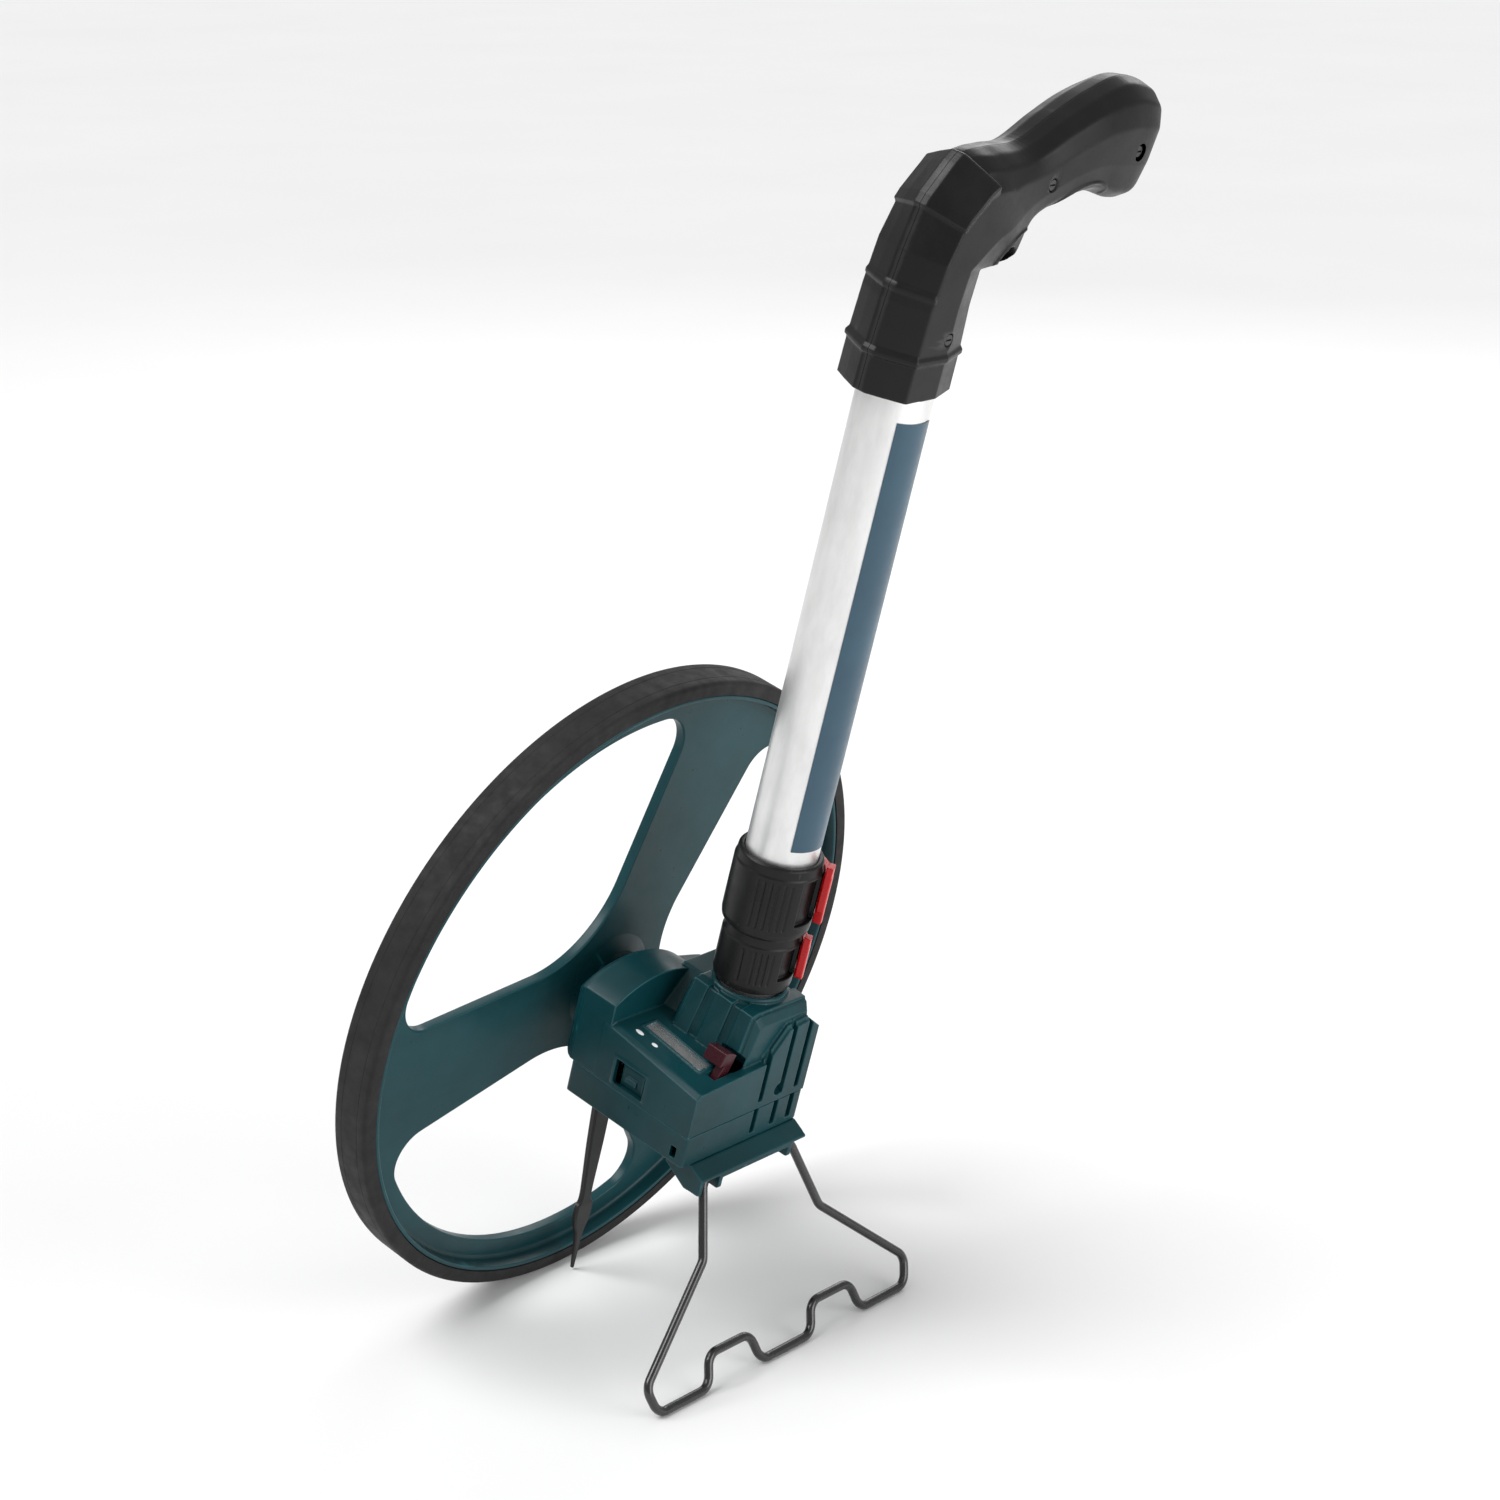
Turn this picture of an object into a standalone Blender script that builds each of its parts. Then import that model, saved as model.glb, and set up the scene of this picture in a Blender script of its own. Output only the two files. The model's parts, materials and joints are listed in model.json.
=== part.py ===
"""Distance measuring wheel with a mechanical counter, telescopic pole and folding side stand.

Every dimension below is in millimetres, in the frame of the wheel: X along the axle away from
the wheel, Z along the pole, Y along the grip. The origin is on the axle, on the tyre's face
nearest the counter. The whole object then leans on its side stand, and its meshes are in metres.
"""

import math

import bmesh
import bpy
from mathutils import Matrix, Vector

MM = 0.001
GAP = 0.3

# Stance: the object leans towards its stand until tyre and stand both touch the ground.
LEAN_DEG = 15.9
STANCE = (-67.34, 0.0, 153.05)

# Wheel: one metre round.
TYRE_RADIUS = 159.15
TYRE_WIDTH = 20.6
RIM_RADIUS = 151.9
RIM_WALL = 1.9
WEB_BACK = -13.2
WEB_FRONT = -7.8
WHEEL_STEPS = 96
WINDOW_RADIUS = 139.5
WINDOW_TIP = 23.4
WINDOW_HALF_ANGLE = math.radians(55.0)
WINDOW_INNER_FILLET = 53.0
WINDOW_OUTER_FILLET = 16.0
FIRST_WINDOW_DEG = 8.4
AXLE_RADIUS = 4.0

# Gear pair: one turn of the wheel is one turn of the tenths drum.
COUNTER_Y = -27.0
COUNTER_Z = -2.0
GEAR_PITCH_RADIUS = math.hypot(COUNTER_Y, COUNTER_Z) / 2
GEAR_TEETH = 24
GEAR_ADDENDUM = 0.9
GEAR_DEDENDUM = 1.25
GEAR_LOW = 19.2
GEAR_HIGH = 25.2
# A tooth's corners as (share of the pitch angle from its middle, height over the pitch circle).
TOOTH_CORNERS = (
    (-0.30, -GEAR_DEDENDUM),
    (-0.12, GEAR_ADDENDUM),
    (0.12, GEAR_ADDENDUM),
    (0.30, -GEAR_DEDENDUM),
)

# Counter.
DRUM_COUNT = 5
DRUM_RADIUS = 7.6
DRUM_PITCH = 7.0
DRUM_WIDTH = 6.5
DRUMS_LOW = 42.0
SHAFT_RADIUS = 1.8

# Counter housing.
HOUSING_SPLIT = -15.0
HOUSING_FRONT = -45.0
HOUSING_BACK = 35.5
HOUSING_END = 90.0
HUMP_LOW = 7.0
HUMP_HIGH = 34.0
HUMP_SHOULDER = 15.0
HUMP_TAPER = 0.81
HOUSING_LOW = -31.0
BASE_START = 16.0
WALL = 2.5
GROOVE_PLACES = (2.3, 16.4, 27.7)
GROOVE_WIDTH = 1.5
GROOVE_DEPTH = 1.1
STRAP_PLACES = (54.0, 70.0, 86.0)
STRAP_HEIGHT = 1.2
DISPLAY_HOLE = ((42.5, -31.2), (77.5, -31.2), (77.5, -23.6), (42.5, -23.6))
SCREW_PLACES = ((24, -36), (24, 27), (74, -36), (74, 27))

# Pole.
POLE_X = 62.5
POLE_Y = 12.0
TUBE_WALL = 1.2
TOP_TUBE_RADIUS = 16.75
MID_TUBE_RADIUS = 15.15
LOW_TUBE_RADIUS = 13.6
TUBE_STEPS = 48
LOWER_COLLAR = (39.5, 68.8)
UPPER_COLLAR = (69.5, 106.0)
LEVER_PIN_DEG = 118.0
LEVER_PIN_RADIUS = 22.2
KNUCKLE_RADIUS = 3.4

# Handle.
# Each station of the handle: its rear or lower point, its front or upper point, its half width.
HANDLE_STATIONS = (
    ((33, 333), (-14.6, 333), 20.0),
    ((33, 350), (-13.6, 350), 20.0),
    ((32, 371), (-11, 373), 19.8),
    ((33, 386), (-7, 394), 19.8),
    ((45, 385), (-2, 413), 19.6),
    ((54, 386), (15, 431.5), 18.8),
    ((58, 396), (33, 434), 16.5),
    ((64, 404), (54, 435), 15.5),
    ((81, 410), (76, 445), 16.5),
    ((99, 412), (96, 453), 17.5),
    ((118, 407), (117, 458), 17.5),
    ((129, 408), (136, 454), 16.0),
    ((136, 421), (145, 446), 11.0),
)
# Half a section as (across, along), from the rear to the front: a blunt prow below, rounded on the grip.
FOOT_SECTION = (
    (0.4, -1.0),
    (0.74, -0.84),
    (0.99, -0.16),
    (0.95, 0.64),
    (0.55, 0.83),
    (0.15, 1.0),
    (0, 1.0),
)
GRIP_SECTION = ((0.5, -1.0), (0.9, -0.8), (1.0, -0.3), (1.0, 0.35), (0.8, 0.76), (0.42, 0.98), (0, 1.04))
GRIP_STARTS = 6
# Proud bands round the handle's foot as (level, height), and its screws as (y, z, half width there).
HANDLE_BANDS = ((351, 1.2), (377, 0.8))
HANDLE_BAND_HALF = 1.2
HANDLE_WALL = 3.0
HANDLE_SCREWS = ((66, 420, 15.8), (123, 430, 16.8), (13.6, 359, 19.6))

# The exact solver loses these bodies when their end grooves are cut.
EXACT_FAILS = ("housing_cover",)

# Side stand.
STAND_PIVOT = (92.6, -39.6)
STAND_SLOPE_DEG = -58.6
WIRE_RADIUS = 2.25
FOOT_REACH = 90.65



# ---------------------------------------------------------------- scene and materials


def clear_scene():
    for obj in list(bpy.data.objects):
        bpy.data.objects.remove(obj, do_unlink=True)


def material(name, colour, roughness, metallic=0.0):
    made = bpy.data.materials.new(name)
    made.use_nodes = True
    shader = made.node_tree.nodes["Principled BSDF"]
    shader.inputs["Base Color"].default_value = (*colour, 1.0)
    shader.inputs["Roughness"].default_value = roughness
    shader.inputs["Metallic"].default_value = metallic
    return made


def link(obj, parent):
    bpy.context.scene.collection.objects.link(obj)
    obj.parent = parent
    return obj


def stance_empty():
    empty = link(bpy.data.objects.new("stance", None), None)
    empty.location = Vector(STANCE) * MM
    empty.rotation_euler = (0.0, math.radians(LEAN_DEG), 0.0)
    return empty


def node(name, bm, colour, origin=(0.0, 0.0, 0.0)):
    """An object from a bmesh in millimetres, with its origin at the given point."""
    bmesh.ops.recalc_face_normals(bm, faces=bm.faces)
    bmesh.ops.translate(bm, verts=bm.verts, vec=-Vector(origin))
    bmesh.ops.scale(bm, verts=bm.verts, vec=(MM, MM, MM))
    mesh = bpy.data.meshes.new(name)
    bm.to_mesh(mesh)
    bm.free()
    mesh.shade_smooth()
    mesh.set_sharp_from_angle(angle=math.radians(32))
    mesh.materials.append(MATERIALS[colour])
    obj = link(bpy.data.objects.new(name, mesh), STANCE_EMPTY)
    obj.location = Vector(origin) * MM
    return obj


def combine(obj, bm, operation="DIFFERENCE"):
    """Cuts a bmesh from an object, or joins it on, with a Boolean and a hidden helper."""
    helper = node(f"helper_{len(obj.modifiers)}_{obj.name}", bm, "helper")
    helper.hide_render = True
    helper.display_type = "WIRE"
    modifier = obj.modifiers.new(operation.lower(), "BOOLEAN")
    modifier.operation = operation
    modifier.solver = "MANIFOLD" if obj.name in EXACT_FAILS else "EXACT"
    modifier.object = helper
    return obj


def soften(obj, width, angle_deg=40.0, segments=1):
    bevel = obj.modifiers.new("soften", "BEVEL")
    bevel.width = width * MM
    bevel.segments = segments
    bevel.limit_method = "ANGLE"
    bevel.angle_limit = math.radians(angle_deg)
    return obj


# ---------------------------------------------------------------- shapes


AXES = {
    "x": Matrix(((0, 0, 1), (1, 0, 0), (0, 1, 0))),
    "y": Matrix(((1, 0, 0), (0, 0, 1), (0, 1, 0))),
    "z": Matrix.Identity(3),
}


def along(axis, u, v, w):
    """The point with u and v across the axis and w along it: (y, z), (x, z) or (x, y) across."""
    return AXES[axis] @ Vector((u, v, w))


def prism(axis, outline, low, high):
    """An outline across the axis, extruded from low to high."""
    bm = bmesh.new()
    face = bm.faces.new([bm.verts.new(along(axis, u, v, low)) for u, v in outline])
    grown = bmesh.ops.extrude_face_region(bm, geom=[face])["geom"]
    moved = [item for item in grown if isinstance(item, bmesh.types.BMVert)]
    bmesh.ops.translate(bm, verts=moved, vec=along(axis, 0, 0, high - low))
    return bm


def block(low, high):
    (x0, y0, z0), (x1, y1, z1) = low, high
    return prism("z", [(x0, y0), (x1, y0), (x1, y1), (x0, y1)], z0, z1)


def arc(centre, radius, start_deg, end_deg, steps):
    turn = math.radians(end_deg - start_deg) / steps
    first = math.radians(start_deg)
    angles = [first + turn * i for i in range(steps + 1)]
    return [(centre[0] + radius * math.cos(a), centre[1] + radius * math.sin(a)) for a in angles]


def circle(centre, radius, steps):
    return arc(centre, radius, 0, 360, steps)[:-1]


def cylinder(axis, centre, radius, low, high, steps=24):
    return prism(axis, circle(centre, radius, steps), low, high)


def turned(axis, centre, profile, steps=32):
    """A closed profile of (along, radius) points, turned about the axis."""
    bm = bmesh.new()
    rings = []
    for w, radius in profile:
        if radius == 0:
            rings.append([bm.verts.new(along(axis, *centre, w))] * steps)
            continue
        points = circle(centre, radius, steps)
        rings.append([bm.verts.new(along(axis, u, v, w)) for u, v in points])
    for ring, following in zip(rings, rings[1:] + rings[:1]):
        for i in range(steps):
            j = (i + 1) % steps
            corners = list(dict.fromkeys((ring[i], ring[j], following[j], following[i])))
            if len(corners) > 2:
                bm.faces.new(corners)
    return bm


def pipe(axis, centre, inner, outer, low, high, steps=32):
    profile = [(low, inner), (low, outer), (high, outer), (high, inner)]
    return turned(axis, centre, profile, steps)


def loft(rings):
    """A closed body through rings with the same number of points."""
    bm = bmesh.new()
    made = [[bm.verts.new(point) for point in ring] for ring in rings]
    count = len(made[0])
    for ring, following in zip(made, made[1:]):
        for i in range(count):
            j = (i + 1) % count
            bm.faces.new((ring[i], ring[j], following[j], following[i]))
    bm.faces.new(made[0])
    bm.faces.new(made[-1])
    bmesh.ops.triangulate(bm, faces=bm.faces)
    return bm


def hexagon(centre, flats):
    return circle(centre, flats / math.sqrt(3), 6)


# ---------------------------------------------------------------- wheel


def window_outline(centre_deg):
    """One wheel opening: two spoke edges, a wide inner fillet, two outer fillets and the rim arc."""
    half = WINDOW_HALF_ANGLE
    inner_centre = WINDOW_TIP + WINDOW_INNER_FILLET / math.sin(half)
    reach = WINDOW_RADIUS - WINDOW_OUTER_FILLET
    start = WINDOW_TIP + WINDOW_OUTER_FILLET / math.sin(half)
    run = -start * math.cos(half) + math.sqrt(reach**2 - (start * math.sin(half)) ** 2)
    corner = (start + run * math.cos(half), run * math.sin(half))
    edge_deg = 90 + math.degrees(half)
    rim_deg = math.degrees(math.atan2(corner[1], corner[0]))
    upper = arc((inner_centre, 0), WINDOW_INNER_FILLET, 180, edge_deg, 6)
    upper += arc(corner, WINDOW_OUTER_FILLET, edge_deg, rim_deg, 6)
    rim = arc((0, 0), WINDOW_RADIUS, rim_deg, -rim_deg, 18)[1:-1]
    lower = [(u, -v) for u, v in reversed(upper[1:])]
    turn = math.radians(centre_deg)
    return [
        (u * math.cos(turn) - v * math.sin(turn), u * math.sin(turn) + v * math.cos(turn))
        for u, v in upper + rim + lower
    ]


def make_tyre():
    edge = 0.8
    profile = [
        (-TYRE_WIDTH, RIM_RADIUS + GAP),
        (-TYRE_WIDTH, TYRE_RADIUS - edge),
        (edge - TYRE_WIDTH, TYRE_RADIUS),
        (-edge, TYRE_RADIUS),
        (0, TYRE_RADIUS - edge),
        (0, RIM_RADIUS + GAP),
    ]
    node("tyre", turned("x", (0, 0), profile, WHEEL_STEPS), "rubber")


def make_wheel_disc():
    rim_inner = RIM_RADIUS - RIM_WALL
    side = 0.3
    bore = AXLE_RADIUS + GAP
    hub = 26.0
    profile = [
        (-17.0, bore),
        (-17.0, hub),
        (WEB_BACK, hub + 4),
        (WEB_BACK, rim_inner),
        (side - TYRE_WIDTH, rim_inner),
        (side - TYRE_WIDTH, RIM_RADIUS),
        (-side, RIM_RADIUS),
        (-side, rim_inner),
        (WEB_FRONT, rim_inner),
        (WEB_FRONT, hub + 4),
        (-2.5, hub),
        (-2.5, bore),
    ]
    disc = node("wheel_disc", turned("x", (0, 0), profile, WHEEL_STEPS), "petrol")
    for i in range(3):
        outline = window_outline(FIRST_WINDOW_DEG + 120 * i)
        combine(disc, prism("x", outline, WEB_BACK - 2, WEB_FRONT + 2))


def make_axle_set():
    axle = [(-23.0, 0), (-23.0, AXLE_RADIUS - 0.6), (-22.4, AXLE_RADIUS), (50, AXLE_RADIUS), (50, 0)]
    node("axle", turned("x", (0, 0), axle), "steel")
    bore = AXLE_RADIUS + GAP
    node("axle_spacer", pipe("x", (0, 0), bore, 8.0, -2.2, 0.8), "steel")
    nut = node("axle_nut", prism("x", hexagon((0, 0), 13.0), -21.8, -17.3), "steel")
    combine(nut, cylinder("x", (0, 0), bore, -30, 0))
    cap = [
        (-17.3, 17.0),
        (-17.3, 19.5),
        (-23.4, 18.0),
        (-25.4, 12.0),
        (-25.6, 0),
        (-23.6, 0),
        (-23.4, 15.5),
    ]
    node("hub_cap", turned("x", (0, 0), cap, 40), "petrol")
    node("axle_circlip", pipe("x", (0, 0), bore, 6.8, 44.6, 45.8, 24), "steel")


# ---------------------------------------------------------------- gears and counter


def gear_outline(centre, tooth_at_deg):
    """Straight-sided teeth; tooth_at_deg is the middle of one tooth."""
    pitch = 360 / GEAR_TEETH
    points = []
    for i in range(GEAR_TEETH):
        middle = tooth_at_deg + i * pitch
        for offset, grow in TOOTH_CORNERS:
            turn = math.radians(middle + offset * pitch)
            radius = GEAR_PITCH_RADIUS + grow
            points.append((centre[0] + radius * math.cos(turn), centre[1] + radius * math.sin(turn)))
    return points


def make_gears():
    line_deg = math.degrees(math.atan2(COUNTER_Z, COUNTER_Y))
    half_pitch = 180 / GEAR_TEETH
    outline = gear_outline((0, 0), line_deg)
    drive = node("drive_gear", prism("x", outline, GEAR_LOW, GEAR_HIGH), "nylon")
    combine(drive, cylinder("x", (0, 0), AXLE_RADIUS + GAP, GEAR_LOW - 5, GEAR_HIGH + 5))
    centre = (COUNTER_Y, COUNTER_Z)
    outline = gear_outline(centre, line_deg + 180 + half_pitch)
    gear = node("counter_gear", prism("x", outline, GEAR_LOW, GEAR_HIGH), "nylon", (0, *centre))
    combine(gear, cylinder("x", centre, SHAFT_RADIUS + GAP, GEAR_LOW - 5, GEAR_HIGH + 5))


def make_counter():
    centre = (COUNTER_Y, COUNTER_Z)
    origin = (0, *centre)
    shaft = cylinder("x", centre, SHAFT_RADIUS, GEAR_LOW - 3, 86.0, 16)
    node("counter_shaft", shaft, "steel", origin)
    names = ("thousands", "hundreds", "tens", "units", "tenths")
    for i, name in enumerate(names[:DRUM_COUNT]):
        low = DRUMS_LOW + i * DRUM_PITCH
        ring = pipe("x", centre, SHAFT_RADIUS + GAP, DRUM_RADIUS, low, low + DRUM_WIDTH, 30)
        node(f"drum_{name}", ring, "digit", origin)
    start, end = 38.4, 79.4
    plates = ((start, 40.6), (DRUMS_LOW + DRUM_COUNT * DRUM_PITCH + 0.4, end))
    outer = 10.5
    low_y, high_y = COUNTER_Y - outer, COUNTER_Y + outer
    floor = COUNTER_Z - outer
    bracket = node("counter_frame", block((start, low_y, floor), (end, high_y, floor + 1.6)), "steel")
    for low, high in plates:
        combine(bracket, block((low, low_y, floor), (high, high_y, COUNTER_Z + 4.5)), "UNION")
    combine(bracket, cylinder("x", centre, SHAFT_RADIUS + GAP, 30, 90))


def make_reset_lever():
    """A thumb lever on the counter shaft whose pad stands out of the display panel."""
    centre = (COUNTER_Y, COUNTER_Z)
    arm = [*arc(centre, 3.4, 150, -20, 2), *arc(centre, 20.0, 57, 73, 2)]
    pad = arc(centre, 17.2, 54, 78, 4) + list(reversed(arc(centre, 22.4, 58, 76, 4)))
    lever = node("reset_lever", prism("x", arm, 80.2, 84.4), "dark_red", (0, *centre))
    combine(lever, prism("x", pad, 70.4, 83.0), "UNION")
    combine(lever, cylinder("x", centre, 4.6, 80.2, 84.4, 24), "UNION")
    combine(lever, cylinder("x", centre, SHAFT_RADIUS + GAP, 70, 95))
    node("shaft_cap", cylinder("x", centre, 3.4, 86.3, 87.0, 20), "steel", (0, *centre))


# ---------------------------------------------------------------- counter housing


def housing_profile(x, inset):
    """The cover's section across the axle at one place: a display panel, a slope and a plateau."""
    share = (x - HUMP_HIGH) / (HOUSING_END - HUMP_HIGH)
    inner = [(-45, 13), (-42, 14.6), (-10, 14.6), (4, 31), (28, 31), (HOUSING_BACK, 25)]
    outer = [(-45, 5.5), (-42, 7.5), (2, 9.5), (14, 24), (28, 25.5), (HOUSING_BACK, 20)]
    points = []
    for (y0, z0), (y1, z1) in zip(inner, outer):
        y = y0 + (y1 - y0) * share
        z = z0 + (z1 - z0) * share
        edge = math.copysign(inset, -y) if abs(y) > 32 else inset * 0.3
        points.append((y + edge, z - inset))
    floor = HOUSING_SPLIT + GAP / 2 if inset == 0 else HOUSING_SPLIT - 10
    return [(points[0][0], floor), *points, (points[-1][0], floor)]


def hump_ring(x, inset, shrink, floor):
    """The rounded cover over the gears, next to the wheel, in section at one place."""
    front, back = HOUSING_FRONT + inset, HOUSING_BACK - inset
    centre, radius = (-14.7, -21.6), 54.3 - inset
    start_deg = math.degrees(math.acos((front - centre[0]) / radius)) - 0.5
    top = arc(centre, radius, start_deg, 52, 12)
    section = [(front, floor), *top, (back, 17 - inset), (back, floor)]
    middle = (front + back) / 2
    return [(x, middle + (y - middle) * shrink, floor + (z - floor) * shrink) for y, z in section]


def hump_loft(wall):
    """The hump's body, narrower at the wheel; a wall thickness gives the hollow inside it."""
    floor = HOUSING_SPLIT - 10 if wall else HOUSING_SPLIT + GAP / 2 + 0.05
    inset = wall + 0.2 if wall else 0.05
    places = ((HUMP_LOW + wall, HUMP_TAPER), (HUMP_SHOULDER + wall / 2, 1.0), (HUMP_HIGH, 1.0))
    return loft([hump_ring(x, inset, shrink, floor) for x, shrink in places])


def housing_rings(low, high, inset):
    return [[(x, y, z) for y, z in housing_profile(x, inset)] for x in (low, high)]


def make_housing_cover():
    cover = node("housing_cover", loft(housing_rings(HUMP_HIGH - 4, HOUSING_END, 0.0)), "petrol")
    combine(cover, hump_loft(0.0), "UNION")
    boss = cylinder("z", (POLE_X, POLE_Y), LOW_TUBE_RADIUS + 4.4, 12, LOWER_COLLAR[0] - 3.5, 40)
    combine(cover, boss, "UNION")
    for y in GROOVE_PLACES:
        groove = (HOUSING_END - GROOVE_DEPTH, y, -11.3), (HOUSING_END + 3, y + GROOVE_WIDTH, 45)
        combine(cover, block(*groove))
    for x in STRAP_PLACES:
        strap = [(x, y, z + STRAP_HEIGHT) for y, z in housing_profile(x, 0.0)[3:6]]
        strap += [(x, y, z - 6.0) for y, z in reversed(housing_profile(x, 0.0)[3:6])]
        rings = [[(x + shift, y, z) for x, y, z in strap] for shift in (-4.5, 2.5)]
        combine(cover, loft(rings), "UNION")
    combine(cover, loft(housing_rings(HUMP_HIGH - 1, HOUSING_END - WALL, WALL)))
    combine(cover, hump_loft(WALL))
    combine(cover, cylinder("x", (0, 0), 9.3, HUMP_LOW - 3, HUMP_LOW + 6, 40))
    combine(cover, cylinder("z", (POLE_X, POLE_Y), LOW_TUBE_RADIUS + 2.6, 5, 50, 40))
    combine(cover, prism("z", DISPLAY_HOLE, 0, 20))
    combine(cover, block((78.8, -31, 0), (86, -9, 20)))
    combine(cover, block((41.5, -50, -12.5), (60, -40, 0.5)))
    combine(cover, cylinder("x", (16, -8.5), 3.2, HOUSING_END - 6, HOUSING_END + 5, 20))


def make_housing_base():
    top = HOUSING_SPLIT - GAP / 2
    low = HOUSING_LOW
    shell = (BASE_START, HOUSING_FRONT, low), (HOUSING_END, HOUSING_BACK, top)
    base = node("housing_base", block(*shell), "petrol")
    soften(base, 1.2)
    inner_front, inner_end = HOUSING_FRONT + WALL, HOUSING_END - WALL
    inside = (BASE_START + WALL, inner_front, low + WALL), (inner_end, HOUSING_BACK - WALL, 0)
    combine(base, block(*inside))
    for y in GROOVE_PLACES:
        groove = (HOUSING_END - GROOVE_DEPTH, y, low + 3), (HOUSING_END + 3, y + GROOVE_WIDTH, 0)
        combine(base, block(*groove))
    combine(base, block((43, inner_front, low + 1), (58.5, inner_front + 2, -2)), "UNION")
    for x, y in SCREW_PLACES:
        combine(base, cylinder("z", (x, y), 3.4, low + 0.5, top - 2, 16), "UNION")
        combine(base, cylinder("z", (x, y), 2.9, low - 5, low + 2.2, 16))


def make_housing_fittings():
    low = HOUSING_LOW
    for i, (x, y) in enumerate(SCREW_PLACES, 1):
        disc = cylinder("z", (x, y), 2.5, low + 0.4, low + 1.9, 16)
        head = node(f"housing_screw_{i}", disc, "steel")
        combine(head, block((x - 2, y - 0.4, low), (x + 2, y + 0.4, low + 0.9)))
    plug = cylinder("x", (16, -8.5), 2.7, HOUSING_END - 5.5, HOUSING_END - 3.4, 20)
    screw = node("cover_screw", plug, "steel")
    combine(screw, prism("x", hexagon((16, -8.5), 2.5), HOUSING_END - 4.6, HOUSING_END))
    node("display_window", housing_lens(), "glass")
    bearing = [
        (HUMP_LOW - 1.2, AXLE_RADIUS + 0.2),
        (HUMP_LOW - 1.2, 11.5),
        (HUMP_LOW - GAP, 11.5),
        (HUMP_LOW - GAP, 9.0),
        (HUMP_LOW + 5, 9.0),
        (HUMP_LOW + 5, AXLE_RADIUS + 0.2),
    ]
    node("axle_bush", turned("x", (0, 0), bearing, 40), "brass")
    stay = node("bearing_bracket", block((47.0, -11, -28.2), (49.4, 11, 7)), "nylon")
    combine(stay, block((43.5, -11, -28.2), (54.0, 11, -25.7)), "UNION")
    combine(stay, cylinder("x", (0, 0), AXLE_RADIUS + 0.2, 40, 60, 40))


def housing_lens():
    """The clear window set into the display panel, its top just proud of the slope of the panel."""
    rings = []
    for x in (42.8, 77.2):
        share = (x - HUMP_HIGH) / (HOUSING_END - HUMP_HIGH)
        top = 14.6 + (8.1 - 14.6) * share
        section = [(-30.9, -1.6), (-30.9, 0.1), (-29.4, 0.7)]
        section += [(-25.4, 0.7), (-23.9, 0.1), (-23.9, -1.6)]
        rings.append([(x, y, top + z) for y, z in section])
    return loft(rings)


# ---------------------------------------------------------------- pole


def make_tubes():
    centre = (POLE_X, POLE_Y)
    low_top, mid_top, top_top = 340.0, 352.0, 368.0
    sections = (
        ("lower_tube", LOW_TUBE_RADIUS, 10.0, low_top),
        ("middle_tube", MID_TUBE_RADIUS, LOWER_COLLAR[0] + 5.0, mid_top),
        ("upper_tube", TOP_TUBE_RADIUS, UPPER_COLLAR[0] + 4.5, top_top),
    )
    for name, radius, low, high in sections:
        node(name, pipe("z", centre, radius - TUBE_WALL, radius, low, high, TUBE_STEPS), "aluminium")
    socket = [
        (7.0, 0),
        (7.0, LOW_TUBE_RADIUS + 2.2),
        (24.0, LOW_TUBE_RADIUS + 2.2),
        (32.5, LOW_TUBE_RADIUS + 2.2),
        (32.5, LOW_TUBE_RADIUS + GAP),
        (9.6, LOW_TUBE_RADIUS + GAP),
        (9.6, 0),
    ]
    node("pole_socket", turned("z", centre, socket, 40), "black_plastic")
    label_low, label_high = 118.0, 318.0
    face = arc(centre, TOP_TUBE_RADIUS + 0.2, -34, 34, 10)
    face += reversed(arc(centre, TOP_TUBE_RADIUS + 0.45, -34, 34, 10))
    node("pole_label", prism("z", face, label_low, label_high), "label")


def lever_pin_place():
    turn = math.radians(LEVER_PIN_DEG)
    return (POLE_X + LEVER_PIN_RADIUS * math.cos(turn), POLE_Y + LEVER_PIN_RADIUS * math.sin(turn))


def collar(name, span, tube_radius, inner_radius, outer_radius):
    """A collar clamped on one tube, which the next tube slides through."""
    low, high = span
    centre = (POLE_X, POLE_Y)
    profile = [
        (low, inner_radius + GAP),
        (low, outer_radius - 0.8),
        (low + 0.8, outer_radius),
        (high - 0.8, outer_radius),
        (high, outer_radius - 0.8),
        (high, tube_radius + GAP),
        (low + 4.2, tube_radius + GAP),
        (low + 4.2, inner_radius + GAP),
    ]
    made = node(name, turned("z", centre, profile, 48), "black_plastic")
    pin = lever_pin_place()
    ear = arc(pin, 4.2, LEVER_PIN_DEG - 80, LEVER_PIN_DEG + 80, 8)
    ear += arc(centre, tube_radius + 1.5, LEVER_PIN_DEG + 12, LEVER_PIN_DEG - 12, 2)
    for ear_low, ear_high in ((low + 1.5, low + 5.5), (high - 5.5, high - 1.5)):
        combine(made, prism("z", ear, ear_low, ear_high), "UNION")
    combine(made, cylinder("z", pin, KNUCKLE_RADIUS + 0.35, low + 5.5, high - 5.5, 20))
    combine(made, cylinder("z", centre, tube_radius + GAP, low + 4.2, high + 5, 48))
    combine(made, cylinder("z", pin, 1.5 + GAP, low - 5, high + 5, 16))
    pocket = arc(centre, outer_radius - 1.1, -28, 20, 8)
    pocket += reversed(arc(centre, outer_radius + 5, -28, 20, 8))
    combine(made, prism("z", pocket, low + 7.0, high - 6.5))


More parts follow.
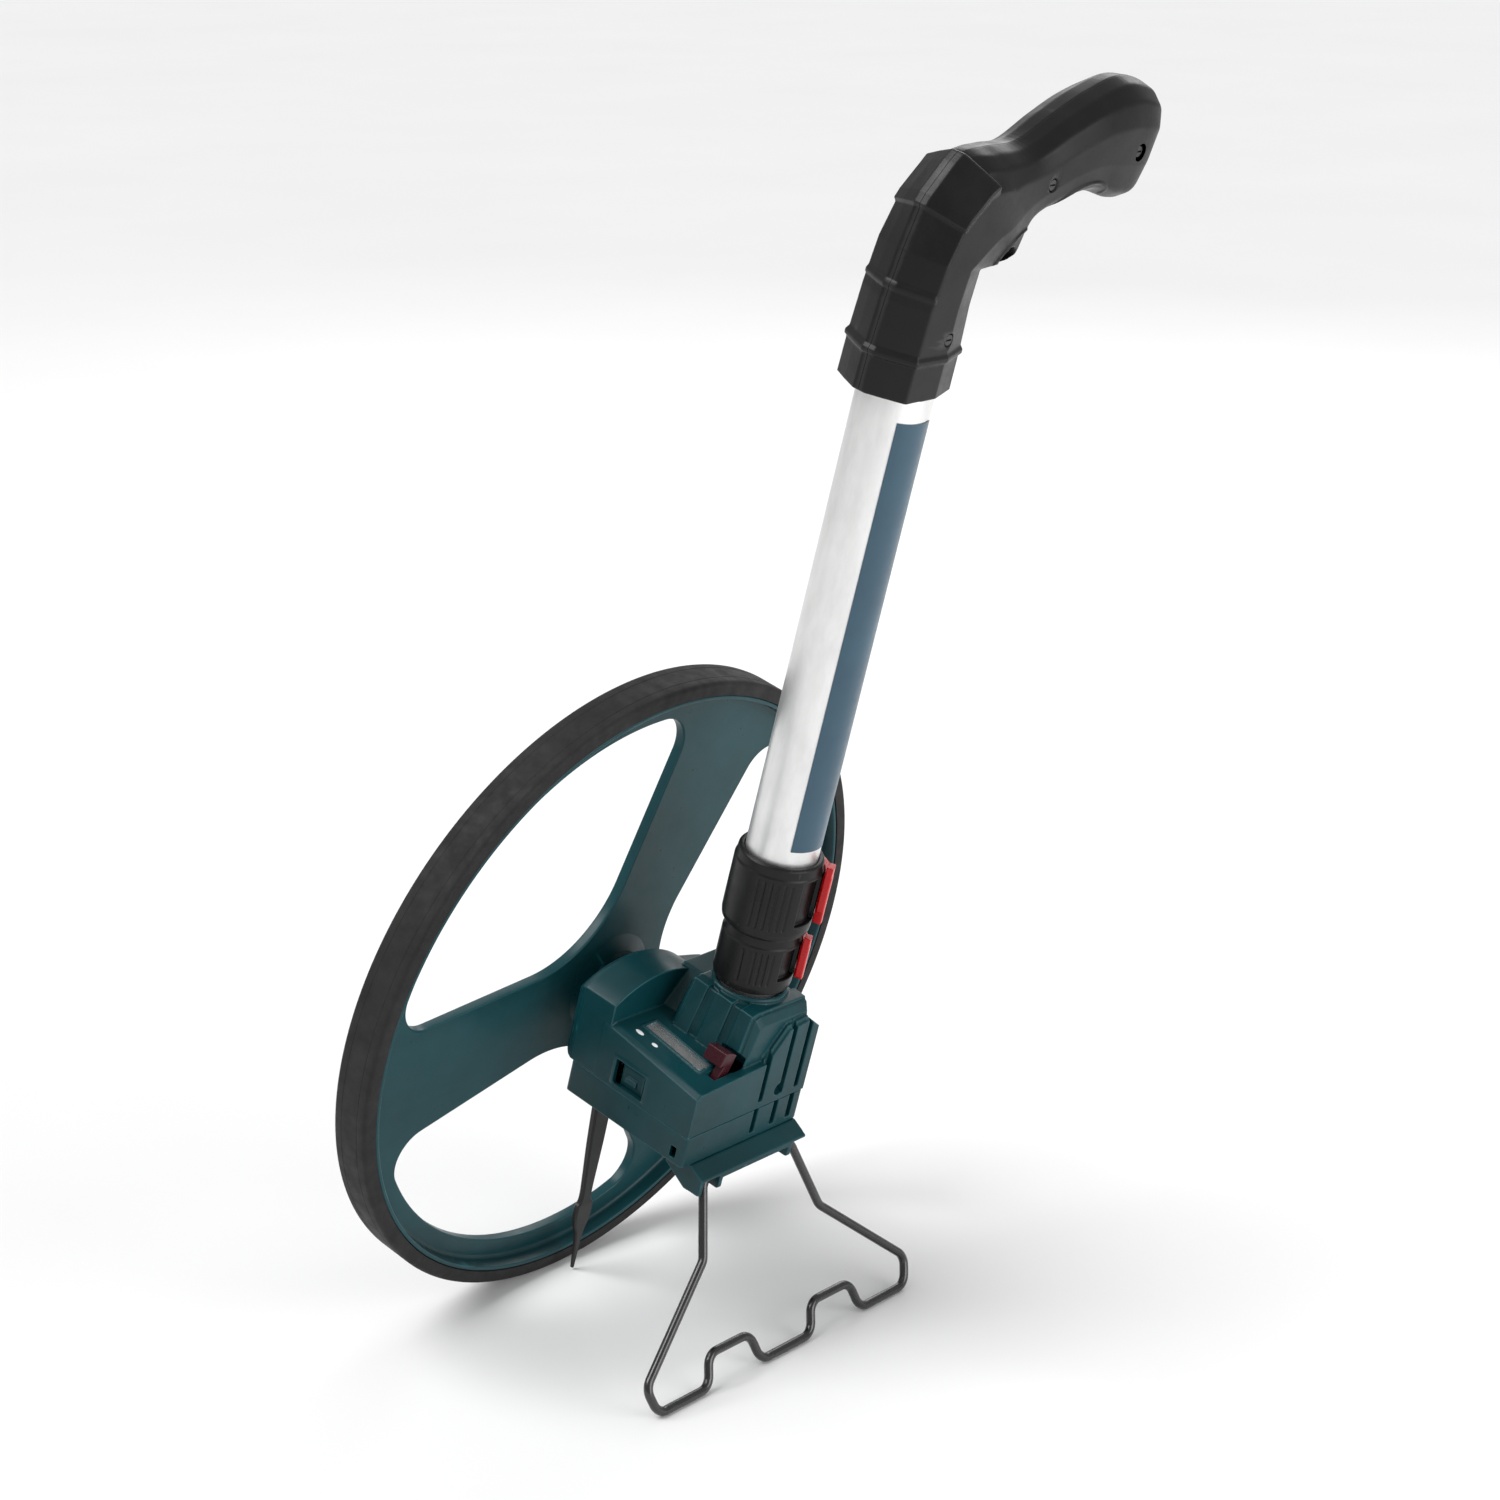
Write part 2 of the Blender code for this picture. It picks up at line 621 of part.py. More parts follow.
def clamp_lever(name, span, outer_radius, tab):
    """A red lever that lies round the collar and swings out on an upright pin."""
    low, high = span
    centre = (POLE_X, POLE_Y)
    pin = lever_pin_place()
    inner = outer_radius + 0.5
    shell = arc(centre, inner, 24, LEVER_PIN_DEG - 6, 12)
    shell += reversed(arc(centre, inner + 2.4, 30, LEVER_PIN_DEG - 6, 12))
    shell += arc(centre, inner + 3.6, 30, 24, 2)
    middle = (low + high) / 2
    reach = (high - low) / 2 - 6.2
    tab_low, tab_high = tab
    lever = node(name, prism("z", shell, middle - reach, middle + reach), "red", (*pin, 0))
    lip = arc(centre, inner + 0.8, 21, 35, 3)
    lip += reversed(arc(centre, inner + 4.0, 21, 35, 3))
    combine(lever, prism("z", lip, tab_low, tab_high), "UNION")
    combine(lever, cylinder("z", centre, inner, low - 10, high + 20, 48))
    combine(lever, cylinder("z", pin, KNUCKLE_RADIUS, middle - reach, middle + reach, 20), "UNION")
    combine(lever, cylinder("z", pin, 1.5 + GAP, low - 10, high + 10, 16))


def make_collars():
    centre_sets = (
        ("upper", UPPER_COLLAR, TOP_TUBE_RADIUS, MID_TUBE_RADIUS, 20.6, (81.0, 106.5)),
        ("lower", LOWER_COLLAR, MID_TUBE_RADIUS, LOW_TUBE_RADIUS, 18.4, (45.5, 68.8)),
    )
    for name, span, tube, inner, outer, tab in centre_sets:
        collar(f"{name}_collar", span, tube, inner, outer)
        clamp_lever(f"{name}_clamp_lever", span, outer, tab)
        pin = lever_pin_place()
        bar = cylinder("z", pin, 1.5, span[0] + 0.6, span[1] - 0.6, 16)
        node(f"{name}_lever_pin", bar, "steel", (*pin, 0))


# ---------------------------------------------------------------- handle


def handle_ring(station, inset, section=FOOT_SECTION):
    """A section with cut corners, in the plane of its two points."""
    (y0, z0), (y1, z1), half_width = station
    low, high = Vector((y0, z0)), Vector((y1, z1))
    up = (high - low).normalized()
    middle = (low + high) / 2
    tall = (high - low).length / 2 - inset
    wide = half_width - inset
    half = [(wide * a, tall * b) for a, b in section]
    ring = half + [(-a, b) for a, b in reversed(half[:-1])]
    return [(POLE_X + a, *(middle + up * b)) for a, b in ring]


def handle_body(inset, stations=HANDLE_STATIONS):
    sections = [FOOT_SECTION] * GRIP_STARTS + [GRIP_SECTION] * (len(stations) - GRIP_STARTS)
    return loft([handle_ring(station, inset, section) for station, section in zip(stations, sections)])


def make_handle():
    (rear, _), (front, _), half_width = HANDLE_STATIONS[0]
    seam = POLE_X - GAP / 2, POLE_X + GAP / 2
    for name, cut in (("handle_left", (seam[0], seam[0] + 60)), ("handle_right", (seam[1] - 60, seam[1]))):
        shell = node(name, handle_body(0.0), "black_plastic")
        for z, proud in HANDLE_BANDS:
            ends = (z - HANDLE_BAND_HALF, z + HANDLE_BAND_HALF)
            section = rear + proud, front - proud, half_width + proud
            rings = [handle_ring(((section[0], level), (section[1], level), section[2]), 0) for level in ends]
            combine(shell, loft(rings), "UNION")
        combine(shell, block((cut[0], -60, 300), (cut[1], 200, 500)))
        combine(shell, handle_body(HANDLE_WALL, HANDLE_STATIONS[:-1]))
        combine(shell, cylinder("z", (POLE_X, POLE_Y), TOP_TUBE_RADIUS + GAP, 300, 369, 48))
    for i, (y, z, half) in enumerate(HANDLE_SCREWS, 1):
        face = POLE_X + half
        if z > 400:
            combine(shell, cylinder("x", (y, z), 4.0, seam[1] + 0.5, face - 1.0, 16), "UNION")
        combine(shell, cylinder("x", (y, z), 2.8, face - 2.7, face + 5, 16))
        head = cylinder("x", (y, z), 2.4, face - 2.4, face - 0.8, 16)
        screw = node(f"handle_screw_{i}", head, "steel")
        combine(screw, block((face - 1.6, y - 1.9, z - 0.4), (face, y + 1.9, z + 0.4)))


# ---------------------------------------------------------------- pointer and stand


def make_pointer():
    """A pendulum on the axle whose blade reaches the tyre's edge."""
    sections = (
        (-6.0, 3.2, 6.0, 1.8),
        (-40.0, 3.8, 5.5, 1.6),
        (-80.0, 5.6, 4.2, 1.5),
        (-112.0, 7.2, 3.0, 1.4),
        (-119.0, 7.6, 4.6, 1.4),
        (-128.0, 7.8, 4.2, 1.3),
        (-136.0, 8.3, 2.4, 1.2),
        (-155.0, 9.2, 0.8, 0.9),
    )
    rings = []
    for z, x, half_y, half_x in sections:
        corners = ((-half_x, -half_y), (half_x, -half_y), (half_x, half_y), (-half_x, half_y))
        rings.append([(x + u, v, z) for u, v in corners])
    pointer = node("pointer", loft(rings), "black_plastic")
    combine(pointer, cylinder("x", (0, 0), 10.0, 1.3, 5.2, 32), "UNION")
    combine(pointer, cylinder("x", (0, 0), AXLE_RADIUS + GAP, -5, 15, 32))


def stand_path():
    """The wire's half path, as (across, down) from the pivot, and its mirror image."""
    half = [
        (17, 0),
        (30, 0),
        (41, 35.5),
        (92, 77.5),
        (88, FOOT_REACH),
        (54, FOOT_REACH),
        (50, 76.5),
        (22, 76.5),
        (18, FOOT_REACH),
    ]
    return half + [(-y, s) for y, s in reversed(half)]


def rounded(points, radius, steps=4):
    """The path with each corner replaced by an arc, shortened where a straight is short."""
    made = [points[0]]
    for before, corner, after in zip(points, points[1:], points[2:]):
        into = (before - corner).normalized()
        out = (after - corner).normalized()
        half = into.angle(out) / 2
        room = 0.46 * min((before - corner).length, (after - corner).length)
        trim = min(radius / math.tan(half), room)
        bend = trim * math.tan(half)
        centre = corner + (into + out).normalized() * (bend / math.sin(half))
        start, end = corner + into * trim - centre, corner + out * trim - centre
        sweep = start.angle(end)
        for i in range(steps + 1):
            t = i / steps
            turned_to = start * (math.sin((1 - t) * sweep) / math.sin(sweep))
            turned_to += end * (math.sin(t * sweep) / math.sin(sweep))
            made.append(centre + turned_to)
    return made + [points[-1]]


def make_stand():
    x, z = STAND_PIVOT
    slope = math.radians(STAND_SLOPE_DEG)
    down = Vector((math.cos(slope), 0, math.sin(slope)))
    route = rounded([Vector((0, y, 0)) + down * s for y, s in stand_path()], 6.0)
    curve = bpy.data.curves.new("kickstand_wire", "CURVE")
    curve.dimensions = "3D"
    curve.bevel_depth = WIRE_RADIUS * MM
    curve.bevel_resolution = 2
    curve.use_fill_caps = True
    spline = curve.splines.new("POLY")
    spline.points.add(len(route) - 1)
    for point, place in zip(spline.points, route):
        point.co = (*(place * MM), 1)
    curve.materials.append(MATERIALS["black_metal"])
    wire = link(bpy.data.objects.new("kickstand_wire", curve), STANCE_EMPTY)
    wire.location = Vector((x, 0, z)) * MM
    outline = [(76, -31.3), (90.5, -31.3), (98.5, -35.5), (98.5, -43.8), (89, -44.2), (76, -37)]
    bracket = node("stand_bracket", prism("y", outline, -38.5, 34.5), "petrol")
    soften(bracket, 0.8)
    for side in (-1, 1):
        y0, y1 = sorted((side * 25.5, side * 36.5))
        combine(bracket, block((60, y0, -70), (110, y1, z + WIRE_RADIUS + 0.6)))
        inner, outer = sorted((side * 16.4, side * 28.0))
        combine(bracket, cylinder("y", (x, z), WIRE_RADIUS + GAP + 0.1, inner, outer, 20))


# ---------------------------------------------------------------- assembly


clear_scene()
MATERIALS = {
    "petrol": material("petrol_plastic", (0.012, 0.075, 0.09), 0.42),
    "rubber": material("tyre_rubber", (0.018, 0.018, 0.019), 0.8),
    "black_plastic": material("black_plastic", (0.014, 0.014, 0.015), 0.45),
    "black_metal": material("black_coated_wire", (0.01, 0.01, 0.012), 0.25, 0.4),
    "aluminium": material("anodised_aluminium", (0.75, 0.75, 0.74), 0.32, 1.0),
    "steel": material("zinc_steel", (0.6, 0.6, 0.6), 0.3, 1.0),
    "brass": material("bearing_bronze", (0.55, 0.4, 0.2), 0.35, 1.0),
    "nylon": material("white_nylon", (0.75, 0.74, 0.7), 0.5),
    "digit": material("digit_drum", (0.8, 0.8, 0.78), 0.45),
    "glass": material("clear_window", (0.85, 0.9, 0.92), 0.05),
    "red": material("red_plastic", (0.65, 0.015, 0.02), 0.35),
    "dark_red": material("reset_lever_plastic", (0.03, 0.006, 0.01), 0.3),
    "label": material("pole_label", (0.02, 0.09, 0.15), 0.4),
    "helper": material("helper", (1.0, 0.5, 0.0), 0.5),
}
STANCE_EMPTY = stance_empty()

make_tyre()
make_wheel_disc()
make_axle_set()
make_gears()
make_counter()
make_reset_lever()
make_housing_cover()
make_housing_base()
make_housing_fittings()
make_tubes()
make_collars()
make_handle()
make_pointer()
make_stand()
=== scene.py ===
"""Looks of the distance measuring wheel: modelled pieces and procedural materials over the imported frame.

Shapes are in millimetres in the frame of the wheel, as in the design: X along the axle away from the wheel,
Z along the pole and Y along the grip, with the origin on the axle. STANCE carries them to the row frame.
"""

import json
import math

import bmesh
import bpy
from mathutils import Matrix, Vector
from mathutils.bvhtree import BVHTree


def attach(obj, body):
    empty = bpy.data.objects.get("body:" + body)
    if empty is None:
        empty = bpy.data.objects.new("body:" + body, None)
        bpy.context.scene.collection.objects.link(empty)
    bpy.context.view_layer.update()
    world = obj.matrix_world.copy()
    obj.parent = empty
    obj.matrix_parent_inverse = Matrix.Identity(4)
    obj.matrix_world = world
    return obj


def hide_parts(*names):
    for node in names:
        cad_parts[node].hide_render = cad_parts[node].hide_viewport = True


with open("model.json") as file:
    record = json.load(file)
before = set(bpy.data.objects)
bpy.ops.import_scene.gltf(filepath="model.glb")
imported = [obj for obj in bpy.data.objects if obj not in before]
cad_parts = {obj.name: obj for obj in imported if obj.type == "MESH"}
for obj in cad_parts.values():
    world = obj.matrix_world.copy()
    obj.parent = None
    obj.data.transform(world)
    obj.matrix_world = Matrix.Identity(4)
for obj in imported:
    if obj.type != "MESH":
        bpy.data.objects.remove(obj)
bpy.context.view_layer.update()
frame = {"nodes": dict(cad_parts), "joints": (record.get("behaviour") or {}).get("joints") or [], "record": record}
NODES = frame["nodes"]
JOINTS = {joint["name"]: joint for joint in frame["joints"]}

MM = 0.001
LEAN = math.radians(15.9)
STANCE = Matrix.Translation(Vector(JOINTS["wheel_spin"]["pos_m"])) @ Matrix.Rotation(LEAN, 4, "Y")

FLOOR_HALF = 60.0
WORLD_STRENGTH = 0.45
LOOK_AT = Vector((0.0, 0.0, 0.27))
CAMERA_PLACE = (0.95586, -1.0996, 0.70805)
CAMERA_RIGHT = Vector((0.75905, 0.651, 0.0))
CAMERA_FORWARD = Vector((-0.62477, 0.729, -0.28057))
CAMERA_LENS = 81.87
# Name, place, size of an area lamp or None for the sun, and power.
LIGHTS = (
    ("sky", Vector((-0.9, -1.3, 2.6)), None, 2.25),
    ("side", Vector((2.0, 0.3, 0.7)), (1.4, 1.4), 22.0),
    ("back", Vector((-1.0, 2.2, 1.6)), (1.8, 1.0), 14.0),
)


# ---------------------------------------------------------------- materials


def socket(shader, name, value):
    shader.inputs[name].default_value = value


class Surface:
    """A Principled material, and short ways to add nodes to it."""

    def __init__(self, name, colour, roughness, metallic=0.0):
        self.made = bpy.data.materials.new(name)
        self.made.use_nodes = True
        self.tree = self.made.node_tree
        self.shader = self.tree.nodes["Principled BSDF"]
        socket(self.shader, "Base Color", (*colour, 1.0))
        socket(self.shader, "Roughness", roughness)
        socket(self.shader, "Metallic", metallic)
        self.place = self.tree.nodes.new("ShaderNodeTexCoord").outputs["Object"]

    def scaled(self, x, y, z):
        mapping = self.tree.nodes.new("ShaderNodeMapping")
        mapping.inputs["Scale"].default_value = (x, y, z)
        self.tree.links.new(self.place, mapping.inputs["Vector"])
        return mapping.outputs["Vector"]

    def noise(self, scale, detail=3.0, roughness=0.6, vector=None):
        made = self.tree.nodes.new("ShaderNodeTexNoise")
        made.inputs["Scale"].default_value = scale
        made.inputs["Detail"].default_value = detail
        made.inputs["Roughness"].default_value = roughness
        self.tree.links.new(vector or self.place, made.inputs["Vector"])
        return made.outputs["Fac"]

    def grain(self, scale):
        """Fine moulded pimples, as from a spark-eroded mould."""
        made = self.tree.nodes.new("ShaderNodeTexVoronoi")
        made.inputs["Scale"].default_value = scale
        self.tree.links.new(self.place, made.inputs["Vector"])
        return made.outputs["Distance"]

    def ramp(self, value, stops):
        made = self.tree.nodes.new("ShaderNodeValToRGB")
        elements = made.color_ramp.elements
        while len(elements) < len(stops):
            elements.new(0.5)
        for element, (position, colour) in zip(elements, stops):
            element.position = position
            element.color = (*colour, 1.0) if len(colour) == 3 else colour
        self.tree.links.new(value, made.inputs["Fac"])
        return made.outputs["Color"]

    def levels(self, value, low, high, start=0.3, end=0.7):
        made = self.tree.nodes.new("ShaderNodeMapRange")
        for name, number in (("From Min", start), ("From Max", end), ("To Min", low), ("To Max", high)):
            made.inputs[name].default_value = number
        self.tree.links.new(value, made.inputs["Value"])
        return made.outputs["Result"]

    def bump(self, layers):
        """Bump from (height, strength, distance in mm) layers, laid on each other."""
        normal = None
        for height, strength, distance in layers:
            made = self.tree.nodes.new("ShaderNodeBump")
            made.inputs["Strength"].default_value = strength
            made.inputs["Distance"].default_value = distance * MM
            self.tree.links.new(height, made.inputs["Height"])
            if normal is not None:
                self.tree.links.new(normal, made.inputs["Normal"])
            normal = made.outputs["Normal"]
        self.tree.links.new(normal, self.shader.inputs["Normal"])

    def drive(self, name, value):
        self.tree.links.new(value, self.shader.inputs[name])

    def edges(self, start=0.505, end=0.56):
        """From 0 on flats to 1 on outer edges."""
        bend = self.tree.nodes.new("ShaderNodeNewGeometry").outputs["Pointiness"]
        return self.levels(bend, 0.0, 1.0, start, end)

    def blended(self, share, under, over):
        """One colour over another, each a node's colour or a plain one."""
        made = self.tree.nodes.new("ShaderNodeMix")
        made.data_type = "RGBA"
        self.tree.links.new(share, made.inputs["Factor"])
        for place, colour in ((6, under), (7, over)):
            if isinstance(colour, tuple):
                made.inputs[place].default_value = (*colour, 1.0)
            else:
                self.tree.links.new(colour, made.inputs[place])
        return made.outputs[2]


def moulded(name, colour, roughness, grain_scale=1500, grain_depth=0.03):
    """Satin injection-moulded plastic: fine grain, slow tone changes, painted highlights on outer edges and
    handling marks in the gloss.
    """
    made = Surface(name, colour, roughness)
    broad = made.noise(18)
    scuffs = made.noise(90, detail=6, roughness=0.75)
    dark = tuple(c * 0.82 for c in colour)
    light = tuple(min(1.0, c * 1.22 + 0.001) for c in colour)
    # Outer edges are mixed towards a lighter colour: a painted highlight where light catches the edges.
    painted_edge_highlight = tuple(min(1.0, c * 2.2 + 0.008) for c in colour)
    tone = made.ramp(broad, ((0.35, dark), (0.65, light)))
    made.drive("Base Color", made.blended(made.edges(), tone, painted_edge_highlight))
    made.drive("Roughness", made.levels(scuffs, roughness - 0.07, roughness + 0.10))
    socket(made.shader, "Specular IOR Level", 0.26)
    made.bump(((made.noise(260), 0.15, 0.05), (made.grain(grain_scale), 0.35, grain_depth)))
    return made.made


def rubber():
    made = Surface("tyre_rubber", (0.012, 0.012, 0.012), 0.66)
    socket(made.shader, "Specular IOR Level", 0.35)
    dust = made.noise(45, detail=6, roughness=0.7)
    made.drive("Base Color", made.ramp(dust, ((0.42, (0.009, 0.009, 0.009)), (0.72, (0.017, 0.0165, 0.016)))))
    made.drive("Roughness", made.levels(made.noise(140, detail=5), 0.60, 0.82))
    made.bump(((made.noise(900, detail=4), 0.5, 0.06), (made.noise(120), 0.2, 0.10)))
    return made.made


def anodised():
    """Satin anodised tube, drawn along its length."""
    made = Surface("anodised_aluminium", (0.80, 0.80, 0.79), 0.36, 0.85)
    made.place = made.tree.nodes.new("ShaderNodeTexCoord").outputs["Generated"]
    drawn = made.noise(1.0, detail=4, vector=made.scaled(420, 420, 3))
    cloudy = made.noise(1.0, vector=made.scaled(5, 5, 14))
    made.drive("Base Color", made.ramp(cloudy, ((0.3, (0.74, 0.74, 0.735)), (0.7, (0.84, 0.84, 0.835)))))
    made.drive("Roughness", made.levels(drawn, 0.30, 0.46))
    made.bump(((drawn, 0.12, 0.02),))
    return made.made


def plated():
    made = Surface("zinc_steel", (0.62, 0.62, 0.60), 0.3, 1.0)
    spangle = made.noise(420, detail=4)
    made.drive("Base Color", made.ramp(spangle, ((0.3, (0.5, 0.5, 0.49)), (0.7, (0.70, 0.70, 0.68)))))
    made.drive("Roughness", made.levels(spangle, 0.22, 0.42))
    made.bump(((made.noise(1200), 0.15, 0.02),))
    return made.made


def bronze():
    made = Surface("bearing_bronze", (0.50, 0.33, 0.15), 0.38, 1.0)
    pores = made.grain(2200)
    made.drive("Roughness", made.levels(pores, 0.30, 0.50, 0.1, 0.6))
    made.bump(((pores, 0.4, 0.03),))
    return made.made


def coated_wire():
    """Steel wire dipped in black: thick, glossy and slightly uneven."""
    made = Surface("black_coated_wire", (0.009, 0.009, 0.010), 0.22)
    socket(made.shader, "Coat Weight", 0.5)
    socket(made.shader, "Coat Roughness", 0.12)
    made.drive("Roughness", made.levels(made.noise(160, detail=4), 0.18, 0.34))
    made.bump(((made.noise(130, detail=2), 0.35, 0.12), (made.noise(700), 0.1, 0.03)))
    return made.made


def clear():
    made = Surface("clear_window", (0.86, 0.89, 0.89), 0.06)
    socket(made.shader, "Alpha", 0.10)
    socket(made.shader, "IOR", 1.46)
    made.drive("Roughness", made.levels(made.noise(300, detail=5), 0.03, 0.10))
    return made.made


def red_plastic():
    made = Surface("red_plastic", (0.50, 0.004, 0.006), 0.32)
    socket(made.shader, "Specular IOR Level", 0.35)
    stops = ((0.35, (0.44, 0.003, 0.005)), (0.65, (0.56, 0.005, 0.008)))
    made.drive("Base Color", made.ramp(made.noise(60), stops))
    made.drive("Roughness", made.levels(made.noise(200, detail=5), 0.24, 0.40))
    made.bump(((made.grain(1600), 0.25, 0.02),))
    return made.made


def film():
    """Printed polyester film: deep blue and faintly glossy."""
    made = Surface("pole_label", (0.010, 0.060, 0.105), 0.34)
    socket(made.shader, "Coat Weight", 0.35)
    socket(made.shader, "Coat Roughness", 0.25)
    stops = ((0.3, (0.008, 0.050, 0.085)), (0.7, (0.012, 0.064, 0.108)))
    made.drive("Base Color", made.ramp(made.noise(40), stops))
    made.drive("Roughness", made.levels(made.noise(250, detail=5), 0.28, 0.42))
    made.bump(((made.noise(350), 0.08, 0.03),))
    return made.made


def paint(name, colour, roughness=0.4):
    made = Surface(name, colour, roughness)
    made.drive("Roughness", made.levels(made.noise(400), roughness - 0.06, roughness + 0.08))
    made.bump(((made.noise(900), 0.1, 0.02),))
    return made.made


MATERIALS = {
    "petrol_plastic": moulded("petrol_plastic", (0.0016, 0.034, 0.041), 0.33),
    "black_plastic": moulded("black_plastic", (0.0048, 0.0048, 0.0050), 0.36, 1100, 0.05),
    "tyre_rubber": rubber(),
    "black_coated_wire": coated_wire(),
    "anodised_aluminium": anodised(),
    "zinc_steel": plated(),
    "bearing_bronze": bronze(),
    "white_nylon": moulded("white_nylon", (0.72, 0.71, 0.66), 0.45),
    "digit_drum": moulded("digit_drum", (0.78, 0.78, 0.76), 0.42, 2500, 0.01),
    "clear_window": clear(),
    "red_plastic": red_plastic(),
    "reset_lever_plastic": moulded("reset_lever_plastic", (0.032, 0.004, 0.008), 0.24, 2000, 0.02),
    "pole_label": film(),
}
# Near black for the handle's screw heads: painted shade of the deep holes they sit in, in place of their plated
# steel.
SCREW_PAINTED_SHADE = paint("screw_painted_shade", (0.018, 0.018, 0.019), 0.34)
MARK_WHITE = paint("mark_white", (0.82, 0.84, 0.84))
DIGIT_BLACK = paint("digit_black", (0.012, 0.012, 0.012), 0.5)


def dress_cad_nodes():
    """Every CAD node that stays visible takes the material of its slot in the record; the handle's screws take a
    near-black painted shade instead.
    """
    for row in frame["record"]["subparts"]:
        obj = NODES[row["node"]]
        obj.data.materials.clear()
        # The handle's screws get the near-black painted shade, not their slot's material.
        surface = SCREW_PAINTED_SHADE if row["node"].startswith("handle_screw") else MATERIALS[row["material_slot"]]
        obj.data.materials.append(surface)
        obj.data.shade_smooth()
        obj.data.set_sharp_from_angle(angle=math.radians(35))


# ---------------------------------------------------------------- shapes


AXES = {
    "x": Matrix(((0, 0, 1), (1, 0, 0), (0, 1, 0))),
    "y": Matrix(((1, 0, 0), (0, 0, 1), (0, 1, 0))),
    "z": Matrix.Identity(3),
}


def along(axis, u, v, w):
    """The point with u and v across the axis and w along it."""
    return AXES[axis] @ Vector((u, v, w))


def arc(centre, radius, start_deg, end_deg, steps):
    turn = math.radians(end_deg - start_deg) / steps
    first = math.radians(start_deg)
    angles = [first + turn * i for i in range(steps + 1)]
    return [(centre[0] + radius * math.cos(a), centre[1] + radius * math.sin(a)) for a in angles]


def circle(centre, radius, steps):
    return arc(centre, radius, 0, 360, steps)[:-1]


def rounded(points, radius, steps=4, closed=True):
    """The outline with each corner replaced by an arc; radius is one number, or one for each corner."""
    count = len(points)
    radii = radius if isinstance(radius, (list, tuple)) else [radius] * count
    made = []
    for i, corner in enumerate(points):
        corner = Vector(corner)
        if not closed and i in (0, count - 1):
            made.append(tuple(corner))
            continue
        before, after = Vector(points[i - 1]), Vector(points[(i + 1) % count])
        into, out = (before - corner).normalized(), (after - corner).normalized()
        half = into.angle(out, math.pi) / 2
        if radii[i] == 0 or half > math.radians(88):
            made.append(tuple(corner))
            continue
        room = 0.48 * min((before - corner).length, (after - corner).length)
        trim = min(radii[i] / math.tan(half), room)
        bend = trim * math.tan(half)
        centre = corner + (into + out).normalized() * (bend / math.sin(half))
        start, end = corner + into * trim - centre, corner + out * trim - centre
        sweep = start.angle(end)
        for step in range(steps + 1):
            t = step / steps
            near, far = math.sin((1 - t) * sweep), math.sin(t * sweep)
            made.append(tuple(centre + (start * near + end * far) / math.sin(sweep)))
    return made


def prism(axis, outline, low, high):
    bm = bmesh.new()
    face = bm.faces.new([bm.verts.new(along(axis, u, v, low)) for u, v in outline])
    grown = bmesh.ops.extrude_face_region(bm, geom=[face])["geom"]
    moved = [item for item in grown if isinstance(item, bmesh.types.BMVert)]
    bmesh.ops.translate(bm, verts=moved, vec=along(axis, 0, 0, high - low))
    return bm


def block(low, high):
    (x0, y0, z0), (x1, y1, z1) = low, high
    return prism("z", [(x0, y0), (x1, y0), (x1, y1), (x0, y1)], z0, z1)


def cylinder(axis, centre, radius, low, high, steps=48):
    return prism(axis, circle(centre, radius, steps), low, high)


def turned(axis, centre, profile, steps=96, turn_deg=360.0, first_deg=0.0):
    """A closed profile of (along, radius) points, turned about the axis."""
    bm = bmesh.new()
    count = steps if turn_deg == 360.0 else steps + 1
    directions = arc((0, 0), 1.0, first_deg, first_deg + turn_deg, steps)[:count]
    rings = []
    for w, radius in profile:
        if radius == 0:
            rings.append([bm.verts.new(along(axis, *centre, w))] * count)
            continue
        points = [(centre[0] + radius * u, centre[1] + radius * v) for u, v in directions]
        rings.append([bm.verts.new(along(axis, u, v, w)) for u, v in points])
    for ring, following in zip(rings, rings[1:] + rings[:1]):
        for i in range(steps):
            j = (i + 1) % count
            corners = list(dict.fromkeys((ring[i], ring[j], following[j], following[i])))
            if len(corners) > 2:
                bm.faces.new(corners)
    if turn_deg != 360.0:
        bm.faces.new([ring[0] for ring in rings])
        bm.faces.new([ring[-1] for ring in rings])
    return bm


def loft(rings):
    bm = bmesh.new()
    made = [[bm.verts.new(point) for point in ring] for ring in rings]
    count = len(made[0])
    for ring, following in zip(made, made[1:]):
        for i in range(count):
            j = (i + 1) % count
            bm.faces.new((ring[i], ring[j], following[j], following[i]))
    bm.faces.new(made[0])
    bm.faces.new(made[-1])
    return bm


# ---------------------------------------------------------------- pieces


def mesh_object(name, bm, surface):
    bmesh.ops.recalc_face_normals(bm, faces=bm.faces)
    bmesh.ops.scale(bm, verts=bm.verts, vec=(MM, MM, MM))
    mesh = bpy.data.meshes.new(name)
    bm.to_mesh(mesh)
    bm.free()
    mesh.materials.append(surface)
    obj = bpy.data.objects.new(name, mesh)
    bpy.context.scene.collection.objects.link(obj)
    return obj


def combine(obj, bm, operation="DIFFERENCE", solver="EXACT"):
    """Cuts or joins a bmesh with a Boolean, applied at once."""
    helper = mesh_object("helper", bm, obj.data.materials[0])
    modifier = obj.modifiers.new("boolean", "BOOLEAN")
    modifier.operation = operation
    modifier.solver = solver
    modifier.object = helper
    apply(obj)
    bpy.data.objects.remove(helper, do_unlink=True)
    return obj


def apply(obj):
    """Makes the modifiers of an object real."""
    bpy.context.view_layer.update()
    graph = bpy.context.evaluated_depsgraph_get()
    made = bpy.data.meshes.new_from_object(obj.evaluated_get(graph))
    obj.modifiers.clear()
    obj.data = made
    return obj


def join(obj, *others):
    """Adds the meshes of other objects to this one, as further shells."""
    bm = bmesh.new()
    for one in (obj, *others):
        bm.from_mesh(one.data)
    bm.to_mesh(obj.data)
    bm.free()
    for other in others:
        bpy.data.objects.remove(other, do_unlink=True)
    return obj


